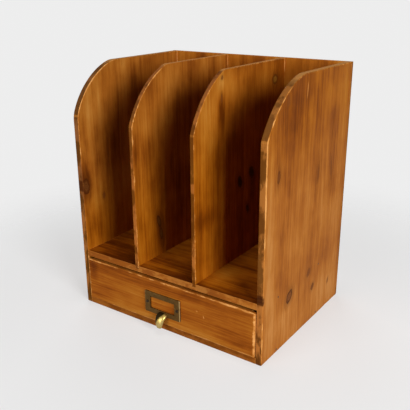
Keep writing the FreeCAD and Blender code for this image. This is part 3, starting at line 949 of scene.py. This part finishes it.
class Piece:
    """Puts finished meshes into the scene as pieces of the organizer."""

    WELD = 0.02 * MM
    LEAST_EDGE = 0.005 * MM

    @staticmethod
    def show(name: str, mesh: bpy.types.Mesh, body: str, slot: str, finish: bpy.types.Material,
             node: str) -> None:
        """Makes a mesh a piece that rides on a body and stands for a CAD node.

        Args:
            name: The piece's name.
            mesh: Its mesh.
            body: The body that carries it.
            slot: The record's material slot, which is not used.
            finish: Its material.
            node: The CAD node that it replaces.
        """
        mesh.materials.append(finish)
        made = bpy.data.objects.new(name, mesh)
        bpy.context.scene.collection.objects.link(made)
        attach(made, body)
        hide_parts(node)
        LOG.info("%s: %d faces, rides on %s", name, len(mesh.polygons), body)

    @staticmethod
    def dress(finish: bpy.types.Material, *nodes: str) -> None:
        """Gives CAD nodes a finish.

        Args:
            finish: Their material.
            nodes: Their names.
        """
        for node in nodes:
            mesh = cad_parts[node].data
            mesh.materials.clear()
            mesh.materials.append(finish)
            LOG.info("%s: dressed with %s", node, finish.name)

    @classmethod
    def boards(cls, name: str, *boards: WornBoard) -> bpy.types.Mesh:
        """Turns worn boards into one smooth mesh.

        Args:
            name: The mesh's name.
            boards: The boards.

        Returns:
            The mesh.
        """
        build = bmesh.new()
        build.verts.layers.float.new(ARRIS)
        for board in boards:
            board.add_to(build)
        bmesh.ops.remove_doubles(build, verts=build.verts, dist=cls.WELD)
        bmesh.ops.dissolve_degenerate(build, edges=build.edges, dist=cls.LEAST_EDGE)
        return settle(build, name)


@dataclass(frozen=True)
class Upright:
    """A side or a divider: the curve of its upper front corner in mm, its wear and its finish."""

    node: str
    rise: float
    run: float
    bulge: float
    curve_wear: tuple[float, ...]
    front_wear: tuple[float, ...]
    pine: Callable[..., StainedPine]
    rubs: tuple[Rub, ...] = (Rub(108.4, 342, 2.0, 16),)
    bend_bare: float = 0.3
    top_bend: float = 22
    low_bend: float = 12
    front_reach: float = 0.8 * MM
    face_reach: float = 0.8 * MM
    rear_reach: float = 0.6 * MM
    corner_radius: float = 0.9 * MM
    arris_radius: float = 1.5 * MM

    @staticmethod
    def _stand(across: float, along: float, depth: float) -> Vector:
        """Stands a board's point up, with the board's faces to the left and right."""
        return Vector((depth, across, along))

    def build(self, seed: int) -> None:
        """Builds the board with worn arrises, and a rubbed spot at the foot of its curve.

        Args:
            seed: Chooses its dents.
        """
        low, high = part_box(self.node)
        corners = (
            Corner(low.y, low.z, self.corner_radius),
            Corner(high.y, low.z, self.corner_radius),
            Corner(high.y, high.z, self.corner_radius),
            Corner(low.y + self.run * MM, high.z, self.top_bend * MM, self.bulge * MM),
            Corner(low.y, high.z - self.rise * MM, self.low_bend * MM),
        )
        radius = self.arris_radius
        foot = Arris(radius * 1.2, self.face_reach, (0.75,))
        hidden = Arris(radius * 0.7, self.face_reach, (0.4,))
        left = (foot, Arris(radius * 0.6, self.rear_reach, (0.3,)), hidden, hidden, hidden)
        right = (
            foot,
            Arris(radius * 0.6, self.rear_reach, (0.7,)),
            Arris(radius * 0.8, self.rear_reach, (0.75, 0.65, 0.55)),
            Arris(radius * 0.7, self.face_reach, self.curve_wear),
            Arris(radius * 0.9, self.front_reach, self.front_wear),
        )
        board = WornBoard(corners, left, right, (low.x, high.x), self._stand, seed)
        mesh = Piece.boards(self.node + "_worn", board)
        bend_rub = Rub(low.y / MM + 0.2, high.z / MM - self.rise, 3, 1.8, bare=self.bend_bare)
        finish = self.pine(self.node, Axis.HEIGHT, Axis.DEPTH, rubs=(*self.rubs, bend_rub)).coat()
        Piece.show(self.node + "_board", mesh, "carcass", "carcass_wood", finish, self.node)


upright_pine = partial(StainedPine, dash=Noise((200, 200, 16), 1, 3.0, 0.6))

UPRIGHTS = (
    Upright(
        "left_side", 68, 74.5, 12.2,
        curve_wear=(0.85, 1.15, 1.1, 0.9),
        front_wear=(0.85, 0.6, 0.45, 0.35, 0.35, 0.55, 0.65, 0.75, 0.65, 0.7),
        rubs=marks(Rub, (108.4, 342, 2.0, 16), (-32.3, 270, 0.9, 78, -0.045, 0.5)),
        bend_bare=0.6, top_bend=45, low_bend=40,
        pine=partial(
            upright_pine, seed=11.3, pith=(-0.05, 0.2), tone=0.53,
            shades=RICH, top_shades=MILD, top_span=(0.1, 0.22), edge_shades=("442a12", "8e5a34"),
            stretches=marks(Stretch, (266, 24, 0.12), (228, 12, -0.1), (204, 9, 0.1), (152, 26, -0.1)),
            knots=marks(Knot, (-109, 181, 7, 12, 0.1, 0.95, 2.8, "6e3e18"), (-75, 158, 4, 7, 0.0, 0.25)),
            clouds=marks(
                Cloud, (-110, 186, 22, 50, -0.42), (-95, 300, 40, 60, 0.12), (-95, 115, 40, 50, -0.18))),
    ),
    Upright(
        "left_divider", 71, 74, 11,
        curve_wear=(0.8, 0.8, 0.8, 0.9),
        front_wear=(0.85, 0.4, 0.6, 0.6, 0.8, 0.7, 0.8),
        pine=partial(
            upright_pine, seed=23.9, pith=(0.03, 0.14), tone=0.47,
            shades=RICH, top_shades=MILD, top_span=(0.12, 0.34), edge_shades=("5c300e", "ac642e"),
            stretches=marks(
                Stretch, (338, 18, 0.12), (244, 18, -0.14), (207, 15, 0.12), (178, 18, -0.06), (95, 16, 0.1)),
            knots=marks(
                Knot, (-67, 136, 3.8, 9, 0.3, 1.0, 3.4, "6e4016"),
                (-63, 116.6, 3.2, 9, 0.1, 0.9, 3.4, "6e4016"), (30, 260, 6, 8, 0.2, 0.7, 3.0)),
            # Painted light: the pale patch at the top stands where the curve of the board to the right throws
            # its shade.
            clouds=marks(
                Cloud, (-65, 126, 14, 46, -0.35), (-92, 246, 30, 44, -0.16), (-112, 250, 14, 80, -0.25),
                (-105, 245, 34, 60, -0.12), (-30, 330, 60, 40, 0.3))),
    ),
    Upright(
        "right_divider", 70.5, 66, 9.7,
        curve_wear=(0.6, 0.7, 0.6, 1.0),
        front_wear=(0.7, 0.35, 0.45, 0.5, 0.8, 0.7, 0.65),
        pine=partial(
            upright_pine, seed=37.1, pith=(-0.01, 0.02), tone=0.46,
            shades=RICH, top_shades=WARM, top_span=(0.2, 0.34), edge_shades=("542c0c", "a8622c"),
            stretches=marks(Stretch, (330, 20, 0.1), (248, 58, -0.12), (213, 9, 0.2), (174, 28, -0.12)),
            knots=marks(
                Knot, (80.4, 323, 7, 7, 0.0, 0.75, 2.6, "a06c24"), (-54, 341, 2.4, 3.2, -0.4, 0.55, 2.4),
                (-55, 316, 3, 9, 0.0, 0.3), (-9, 195.6, 5.5, 8.5, 0.3, 1.0, 2.6, "30170a"),
                (21, 202, 6, 9.5, 0.3, 1.0, 2.6, "30170a"), (12, 151, 4, 7, 0.3, 0.8, 2.6, "30170a")),
            # Painted light: the pale patch at the top, just behind the front corner patch, stands where the
            # right side's curve throws its shade.
            clouds=marks(
                Cloud, (-90, 168, 50, 22, -0.2), (-58, 334, 15, 28, 0.55), (-28, 328, 46, 40, 0.5),
                (52, 330, 40, 36, 0.4), (-54, 296, 13, 46, -0.6), (-80, 300, 45, 110, 0.52))),
    ),
    Upright(
        "right_side", 65, 85.5, 12.4,
        curve_wear=(0.6, 0.7, 0.8, 0.75),
        front_wear=(1.25, 1.3, 1.3, 1.15, 0.8, 0.5, 0.5, 0.6, 1.1, 0.8),
        rubs=marks(
            Rub, (-21, 331, 1.2, 13, -0.08, 0.8), (-68, 38, 1.8, 2.2, 0.0, 0.5),
            (-24, 243, 0.7, 14, 0.02, 0.45), (-10, 305, 0.7, 16, -0.03, 0.35)),
        bend_bare=0.6, front_reach=1.3 * MM,
        pine=partial(
            upright_pine, seed=52.6, pith=(0.01, -0.08), tone=0.6,
            shades=DRY, top_shades=WARM, top_span=(0.2, 0.32), edge_shades=("54300e", "b27032"),
            stretches=marks(
                Stretch, (298, 15, -0.14), (279, 7, 0.12), (254, 19, -0.14), (220, 11, 0.14),
                (172, 38, -0.12), (40, 46, 0.08)),
            knots=marks(
                Knot, (-46, 67.5, 6.5, 9.5, -0.6, 0.95, 2.6, "8f5426"), (23.5, 52.5, 4, 5.6, -0.7, 0.75),
                (9, 79.6, 5, 7, -0.7, 0.5), (75.9, 40.3, 2, 4, -0.3, 0.55),
                (-86, 239, 3.2, 8, -0.1, 0.75, 3.6), (22, 217.6, 3.6, 16, -0.1, 0.35, 3.0),
                (63, 213.2, 3, 18, 0.1, 0.3, 3.0), (-69, 324, 5, 9, 0.0, 0.2),
                (-115.2, 91, 3, 6.5, 0.0, 0.9, 1.5, "42200c")),
            # Painted shade and light: the broad dark patch at the top and the pale ones low at the front, at
            # the foot and at the rear foot make this face darker high up and paler low down; the other
            # patches are stain.
            clouds=marks(
                Cloud, (-20, 350, 130, 150, -0.34), (-110, 120, 40, 190, 0.2), (20, 230, 26, 110, -0.16),
                (10, 20, 150, 110, 0.22), (-80, 30, 46, 50, 0.24), (75, 45, 55, 65, 0.26),
                (-58, 290, 42, 55, -0.24), (62, 318, 50, 45, 0.2), (-58, 222, 32, 60, -0.24),
                (-40, 309, 34, 44, -0.16), (19, 274, 30, 50, 0.2), (71, 130, 36, 60, 0.26),
                (58, 196, 40, 46, -0.22))),
    ),
)


@dataclass
class Carcass:
    """The fixed case: two sides, two dividers, shelf, bottom and back, and the nails that hold them."""

    uprights: tuple[Upright, ...] = UPRIGHTS
    first_seed: int = 100
    seed_step: int = 10
    # Painted shadow and light on the shelf: the three dark patches at the front of the bays stand for the
    # shade that the upright to the right throws, and the pale patch is a painted pool of light in the right
    # bay.
    shelf_painted_shade_and_light: tuple[Cloud, ...] = marks(
        Cloud, (-112, -80, 28, 48, -0.34), (-112, 20, 28, 48, -0.34), (-112, 122, 28, 48, -0.34),
        (-72, 66, 52, 40, 0.62))
    # Darker towards the left end of the shelf's front edge.
    shelf_edge_darker: tuple[Stretch, ...] = marks(Stretch, (-110, 50, -0.12))
    back_clouds: tuple[Cloud, ...] = marks(
        Cloud, (-95, 338, 48, 40, -0.62), (4, 338, 48, 40, -0.3), (92, 338, 48, 40, -0.3))
    panel_wear: float = 0.6 * MM
    nail_depths: tuple[float, float] = (-76.4 * MM, 40.1 * MM)
    nail_heights: tuple[float, float] = (4.5 * MM, 80.5 * MM)
    nail_head: float = 1.3 * MM
    nail_proud: float = 0.12 * MM
    nail_sunk: float = 0.5 * MM
    nail_profile: tuple[Span, ...] = ((1.0, 0.0), (1.0, 0.3), (0.85, 0.8), (0.5, 1.0))
    nail_count: int = 20
    nail_crease: float = 50

    def panels(self) -> None:
        """Dresses the shelf, the bottom and the back."""
        panel = partial(StainedPine, guide=WearGuide.BOX, wear_reach=self.panel_wear, edge_share=0.6,
                        dash_swing=0.3)
        finishes = (
            panel("shelf", Axis.SIDEWAYS, Axis.DEPTH, 61.7, tone=0.45, clouds=self.shelf_painted_shade_and_light,
                  stretches=self.shelf_edge_darker, shades=DEEP, edge_shades=("a25c22", "cc843a")),
            panel("bottom_panel", Axis.SIDEWAYS, Axis.DEPTH, 73.2, tone=0.15,
                  edge_shades=("7c4414", "a06026")),
            panel("back_panel", Axis.HEIGHT, Axis.SIDEWAYS, 88.8, tone=0.73, clouds=self.back_clouds,
                  edge_shades=("6a3c12", "96602c")),
        )
        for finish in finishes:
            Piece.dress(finish.coat(), finish.node)

    def nails(self, iron: bpy.types.Material) -> None:
        """Builds the nail heads on the sides and dresses the hidden nails.

        Args:
            iron: The nails' finish.
        """
        for node, facing in (("left_side_nails", -1), ("right_side_nails", 1)):
            low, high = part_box(node)
            face = high.x if facing > 0 else low.x
            build = bmesh.new()
            for depth in self.nail_depths:
                for height in self.nail_heights:
                    self._nail_head(build, Vector((face, depth, height)), facing)
            mesh = settle(build, node + "_heads", self.nail_crease)
            Piece.show(node + "_heads", mesh, "carcass", "nail_steel", iron, node)
        Piece.dress(iron, "divider_nails", "back_panel_nails")

    def _nail_head(self, build: bmesh.types.BMesh, centre: Vector, facing: int) -> None:
        """Adds a slightly domed nail head.

        Args:
            build: The mesh.
            centre: The middle of the head on the board's face.
            facing: 1 when it faces right, -1 when it faces left.
        """
        rings = []
        for share, rise in self.nail_profile:
            out = self.nail_proud * rise if rise else -self.nail_sunk
            reach, ring = self.nail_head * share, []
            for step in range(self.nail_count):
                angle = facing * math.tau * step / self.nail_count
                spoke = Vector((facing * out, reach * math.cos(angle), reach * math.sin(angle)))
                ring.append(build.verts.new(centre + spoke))
            rings.append(ring)
        skin(build, rings)

    def build(self, iron: bpy.types.Material) -> None:
        """Builds and dresses the whole case.

        Args:
            iron: The nails' finish.
        """
        for index, upright in enumerate(self.uprights):
            upright.build(self.first_seed + self.seed_step * index)
        self.panels()
        self.nails(iron)


@dataclass
class Drawer:
    """The drawer: a worn front on a nailed box."""

    lip: float = 4 * MM
    core_edge: float = 6.3 * MM
    core_overlap: float = 1 * MM
    corner_radius: float = 1.6 * MM
    soft_corner: float = 1.8
    core_radius: float = 0.5 * MM
    seeds: tuple[int, int] = (300, 320)
    hidden: Arris = Arris(0.4 * MM, 0.5 * MM, (0.1,))
    face: tuple[Arris, ...] = (
        Arris(1.8 * MM, 1.8 * MM, (0.95, 0.95, 1.0, 1.05)),
        Arris(2.4 * MM, 2.6 * MM, (0.95,)),
        Arris(1.8 * MM, 1.1 * MM, (0.9, 0.75, 0.72, 0.75, 0.8)),
        Arris(1.8 * MM, 2.0 * MM, (1.25, 1.1, 1.3)),
    )
    clouds: tuple[Cloud, ...] = marks(
        Cloud, (74, -100, 34, 110, -0.32), (74, 60, 24, 130, -0.08), (10, 0, 26, 190, 0.4),
        (45, -105, 45, 60, -0.28), (56, -132, 30, 15, -0.42), (35, 50, 40, 60, 0.14))
    rubs: tuple[Rub, ...] = marks(
        Rub, (48, 54.4, 1.2, 1.9, 0.0, 0.8), (42.5, 65.3, 2.6, 0.9, -0.35, 0.9),
        (71.5, 130, 1.2, 9, 0.0, 0.8), (11.5, 128, 1.2, 14, 0.0, 0.8))

    @staticmethod
    def _stand(across: float, along: float, depth: float) -> Vector:
        """Stands a board's point up, with the board's faces to the front and rear."""
        return Vector((across, -depth, along))

    def front(self) -> None:
        """Builds the drawer front: a worn plate before the core that the drawer's sides are nailed to."""
        low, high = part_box("drawer_front")
        plate_round, core_round = self.corner_radius, self.core_radius
        left, right = low.x + self.core_edge, high.x - self.core_edge
        plate_corners = (Corner(low.x, low.z, plate_round), Corner(high.x, low.z, plate_round),
                         Corner(high.x, high.z, plate_round * self.soft_corner),
                         Corner(low.x, high.z, plate_round))
        core_corners = (Corner(left, low.z, core_round), Corner(right, low.z, core_round),
                        Corner(right, high.z, core_round), Corner(left, high.z, core_round))
        square = (self.hidden,) * len(core_corners)
        rear = -low.y - self.lip
        plate = WornBoard(plate_corners, square, self.face, (rear, -low.y), self._stand, self.seeds[0])
        core_depth = (-high.y, rear + self.core_overlap)
        core = WornBoard(core_corners, square, square, core_depth, self._stand, self.seeds[1])
        finish = StainedPine("drawer_front", Axis.SIDEWAYS, Axis.HEIGHT, 97.4, (0.03, 0.16), 0.55,
                             clouds=self.clouds, rubs=self.rubs, edge_share=0.25, shades=RUDDY,
                             dash=Noise((420, 420, 14), 1, 3.0, 0.6), dash_swing=1.1)
        mesh = Piece.boards("drawer_front_worn", plate, core)
        Piece.show("drawer_front_board", mesh, "drawer", "drawer_wood", finish.coat(), "drawer_front")

    def case(self) -> None:
        """Dresses the boards of the drawer's box."""
        board = partial(StainedPine, tone=0.65, guide=WearGuide.BOX)
        finishes = (
            board("drawer_left_side", Axis.DEPTH, Axis.HEIGHT, 15.5),
            board("drawer_right_side", Axis.DEPTH, Axis.HEIGHT, 29.1),
            board("drawer_back", Axis.SIDEWAYS, Axis.HEIGHT, 44.4),
            board("drawer_bottom", Axis.SIDEWAYS, Axis.DEPTH, 66.0),
        )
        for finish in finishes:
            Piece.dress(finish.coat(), finish.node)

    def build(self, iron: bpy.types.Material) -> None:
        """Builds and dresses the whole drawer but its brass.

        Args:
            iron: The nails' finish.
        """
        self.front()
        self.case()
        Piece.dress(iron, "drawer_front_nails", "drawer_back_nails", "drawer_bottom_nails")


@dataclass
class LabelPull:
    """The brass label frame with its screws, and the finger pull below it."""

    lift: float = 1.15 * MM
    root_width: float = 16 * MM
    shoulder_width: float = 15.8 * MM
    tip_width: float = 8.5 * MM
    reach: float = 8.2 * MM
    drop: float = 13.6 * MM
    root_crown: float = 4.6 * MM
    tip_crown: float = 1.8 * MM
    lip: float = 0.9 * MM
    hollow: float = 0.62
    fullness: float = 0.85
    tip_round: float = 2.4 * MM
    rub_and_highlight_shift: Vector = Vector((0.4 * MM, 0, 5 * MM))
    rub_and_highlight_tall: Vector = Vector((0, 0, 10 * MM))
    sections: int = 26
    tip_sections: int = 8
    tip_flat: float = 0.4
    round_count: int = 44
    crease: float = 60

    def pull(self, finish: bpy.types.Material) -> None:
        """Builds the finger pull: a crowned shell that leaves the frame level and turns down.

        Args:
            finish: Its brass.
        """
        low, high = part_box("finger_pull")
        plate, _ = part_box("label_frame")
        root = Vector(((low.x + high.x) / 2, plate.y, plate.z + self.lift))
        build = bmesh.new()
        rings = [self._ring(build, root, step / self.sections, 0.0) for step in range(self.sections + 1)]
        for step in range(1, self.tip_sections + 1):
            rings.append(self._ring(build, root, 1.0, step / (self.tip_sections + self.tip_flat)))
        skin(build, rings)
        bmesh.ops.recalc_face_normals(build, faces=build.faces)
        mesh = settle(build, "finger_pull_tongue", self.crease)
        Piece.show("finger_pull_tongue", mesh, "drawer", "bright_brass", finish, "finger_pull")

    def _ring(self, build: bmesh.types.BMesh, root: Vector, turned: float, past: float) -> Ring:
        """Adds one section of the pull, crowned above and hollow below.

        Args:
            build: The mesh.
            root: Where the pull leaves the frame.
            turned: Share of its quarter turn.
            past: Share of the rounded tip below the turn.

        Returns:
            The section's vertices.
        """
        angle = turned * math.pi / 2
        ahead, below = self.reach * math.sin(angle), self.drop * (1 - math.cos(angle))
        tilt = math.atan2(self.drop * math.sin(angle), self.reach * math.cos(angle))
        share = math.sqrt(max(1 - past ** 2, 0.0))
        near = self.root_width + (self.shoulder_width - self.root_width) * turned
        far = self.shoulder_width + (self.tip_width - self.shoulder_width) * turned
        half = (near + (far - near) * turned) * share / 2
        crown = (self.root_crown + (self.tip_crown - self.root_crown) * turned) * share
        middle = root + Vector((0, -ahead, -below - self.tip_round * past))
        up = Vector((0, -math.sin(tilt), math.cos(tilt)))
        ring = []
        for step in range(self.round_count):
            phase = math.tau * (step + 0.5) / self.round_count
            side, rise = math.cos(phase), math.sin(phase)
            height = crown * rise if rise > 0 else -crown * self.hollow * rise - self.lip * share
            side = math.copysign(abs(side) ** self.fullness, side)
            ring.append(build.verts.new(middle + Vector((side * half, 0, 0)) + up * height))
        return ring

    def build(self) -> None:
        """Builds the pull and dresses the frame and its screws."""
        low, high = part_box("label_frame")
        # The rub box sits a little to the left and reaches past the top and bottom, so the pale brass runs
        # along the frame's right edge: a rubbed edge that is also a painted highlight where the light falls.
        aged = OldBrass("aged_brass", ("c0a068", "5c421e", "463014"), 0.66, 0.4, 0.7,
                        (low - self.rub_and_highlight_shift, high - self.rub_and_highlight_shift + self.rub_and_highlight_tall))
        # The pull darkens toward the upper left: patina toward its root, and painted shade on its left side,
        # away from the light.
        bright = OldBrass("rubbed_brass", ("c6ae70", "a08646", "2c210e"), 0.3, 0.34,
                          patina_and_shade_way=Vector((-0.8, 0, 0.6)), patina_and_shade_span=(13.5 * MM, 18.0 * MM))
        Piece.dress(aged.coat(), "label_frame")
        Piece.dress(DarkIron("screw_iron", ("3a2812", "22160a")).coat(), "label_screws")
        self.pull(bright.coat())


@dataclass(frozen=True)
class Lamp:
    """A soft square lamp: the direction to it from the organizer, the length of its sides and its watts."""

    name: str
    origin: tuple[float, float, float]
    size: float
    power: float


@dataclass
class Studio:
    """A pale floor that fades into a white surround, four soft lamps, and the camera."""

    floor_size: float = 1.6
    floor_segments: int = 64
    fade_start: float = 0.25
    fade_end: float = 0.7
    floor_colour: Colour = (0.4, 0.39, 0.38, 1)
    shadow_colour: Colour = (0.44, 0.44, 0.44, 1)
    floor_glow: float = 0.5
    lamps: tuple[Lamp, ...] = (
        Lamp("key_light", (0.86, -0.42, 0.33), 0.8, 35.0),
        Lamp("front_light", (-0.2, -0.97, 0.14), 1.2, 20.0),
        Lamp("far_light", (-0.66, 0.66, 0.22), 1.4, 20.0),
        Lamp("top_light", (0.05, 0.0, 1), 0.3, 5.0),
    )
    lamp_distance: float = 2.0
    ambient: float = 0.008
    white: float = 0.85
    target: Vector = Vector((0, 0, 0.17))
    eye: Vector = Vector((0.46198, -0.67566, 0.44441))
    right: Vector = Vector((0.81914, 0.57356, -0.00672))
    up: Vector = Vector((-0.18935, 0.28145, 0.94071))
    lens: float = 52.96
    sensor: float = 36.0

    @staticmethod
    def _seen(graph: Graph) -> Socket:
        """Finds whether a ray comes from the camera, a mirror or glass.

        Args:
            graph: The node tree that asks.

        Returns:
            1 for such a ray, and 0 for others.
        """
        path = graph.node("LightPath").outputs
        mirrored = graph.math("MAXIMUM", path["Is Camera Ray"], path["Is Glossy Ray"])
        return graph.math("MAXIMUM", mirrored, path["Is Transmission Ray"])

    def surround(self) -> None:
        """Makes the world white to the eye and dim to the boards."""
        world = bpy.data.worlds.new("studio_surround")
        bpy.context.scene.world = world
        world.use_nodes = True
        graph = Graph(world.node_tree)
        strength = graph.node("MapRange", {
            "Value": self._seen(graph), "To Min": self.ambient, "To Max": self.white})
        back = graph.tree.nodes["Background"]
        graph.feed(back.inputs["Strength"], strength.outputs["Result"])
        graph.feed(back.inputs["Color"], (1, 1, 1, 1))

    def floor(self) -> None:
        """Lays the floor, which keeps the shadow and fades out at its rim."""
        build = bmesh.new()
        bmesh.ops.create_circle(build, cap_ends=True, radius=self.floor_size, segments=self.floor_segments)
        mesh = settle(build, "studio_floor")
        mesh.materials.append(self._floor_finish())
        made = bpy.data.objects.new("studio_floor", mesh)
        bpy.context.scene.collection.objects.link(made)

    def _floor_finish(self) -> bpy.types.Material:
        """Builds the floor's matt white.

        Returns:
            The floor's material.
        """
        graph = Finish("studio_white")
        graph.tree.nodes.remove(graph.shader)
        plain = graph.apply("BsdfDiffuse", self.floor_colour)
        shadow = graph.apply("BsdfDiffuse", self.shadow_colour)
        glow = graph.node("Emission", {"Strength": self.floor_glow}).outputs[0]
        both = graph.apply("AddShader", shadow, glow)
        seen = graph.apply("MixShader", self._seen(graph), plain, both)
        clear = graph.apply("BsdfTransparent")
        rim = graph.fade(graph.length(graph.point), self.fade_start, self.fade_end)
        graph.feed(graph.output.inputs["Surface"], graph.apply("MixShader", rim, seen, clear))
        return graph.material

    def hang(self, lamp: Lamp) -> None:
        """Hangs a lamp that faces the organizer.

        Args:
            lamp: The lamp.
        """
        light = bpy.data.lights.new(lamp.name, "AREA")
        light.size = lamp.size
        light.energy = lamp.power
        made = bpy.data.objects.new(lamp.name, light)
        origin = Vector(lamp.origin)
        made.location = self.target + origin.normalized() * self.lamp_distance
        made.rotation_euler = origin.to_track_quat("Z", "Y").to_euler()
        bpy.context.scene.collection.objects.link(made)

    def camera(self) -> None:
        """Sets the camera at the photograph's angle."""
        lens = bpy.data.cameras.new("studio_camera")
        lens.lens = self.lens
        lens.sensor_width = self.sensor
        made = bpy.data.objects.new("studio_camera", lens)
        turn = Matrix((self.right, self.up, self.right.cross(self.up))).transposed()
        made.matrix_world = Matrix.Translation(self.eye) @ turn.to_4x4()
        bpy.context.scene.collection.objects.link(made)
        bpy.context.scene.camera = made

    def build(self) -> None:
        """Sets up the whole studio."""
        bpy.context.scene.view_settings.view_transform = "Standard"
        self.surround()
        self.floor()
        for lamp in self.lamps:
            self.hang(lamp)
        self.camera()


def main() -> None:
    """Builds the organizer's looks and its studio."""
    logging.basicConfig(level=logging.INFO, format="%(name)s %(message)s")
    iron = DarkIron("nail_iron").coat()
    Carcass().build(iron)
    Drawer().build(iron)
    LabelPull().build()
    Studio().build()


if __name__ == "__main__":
    main()
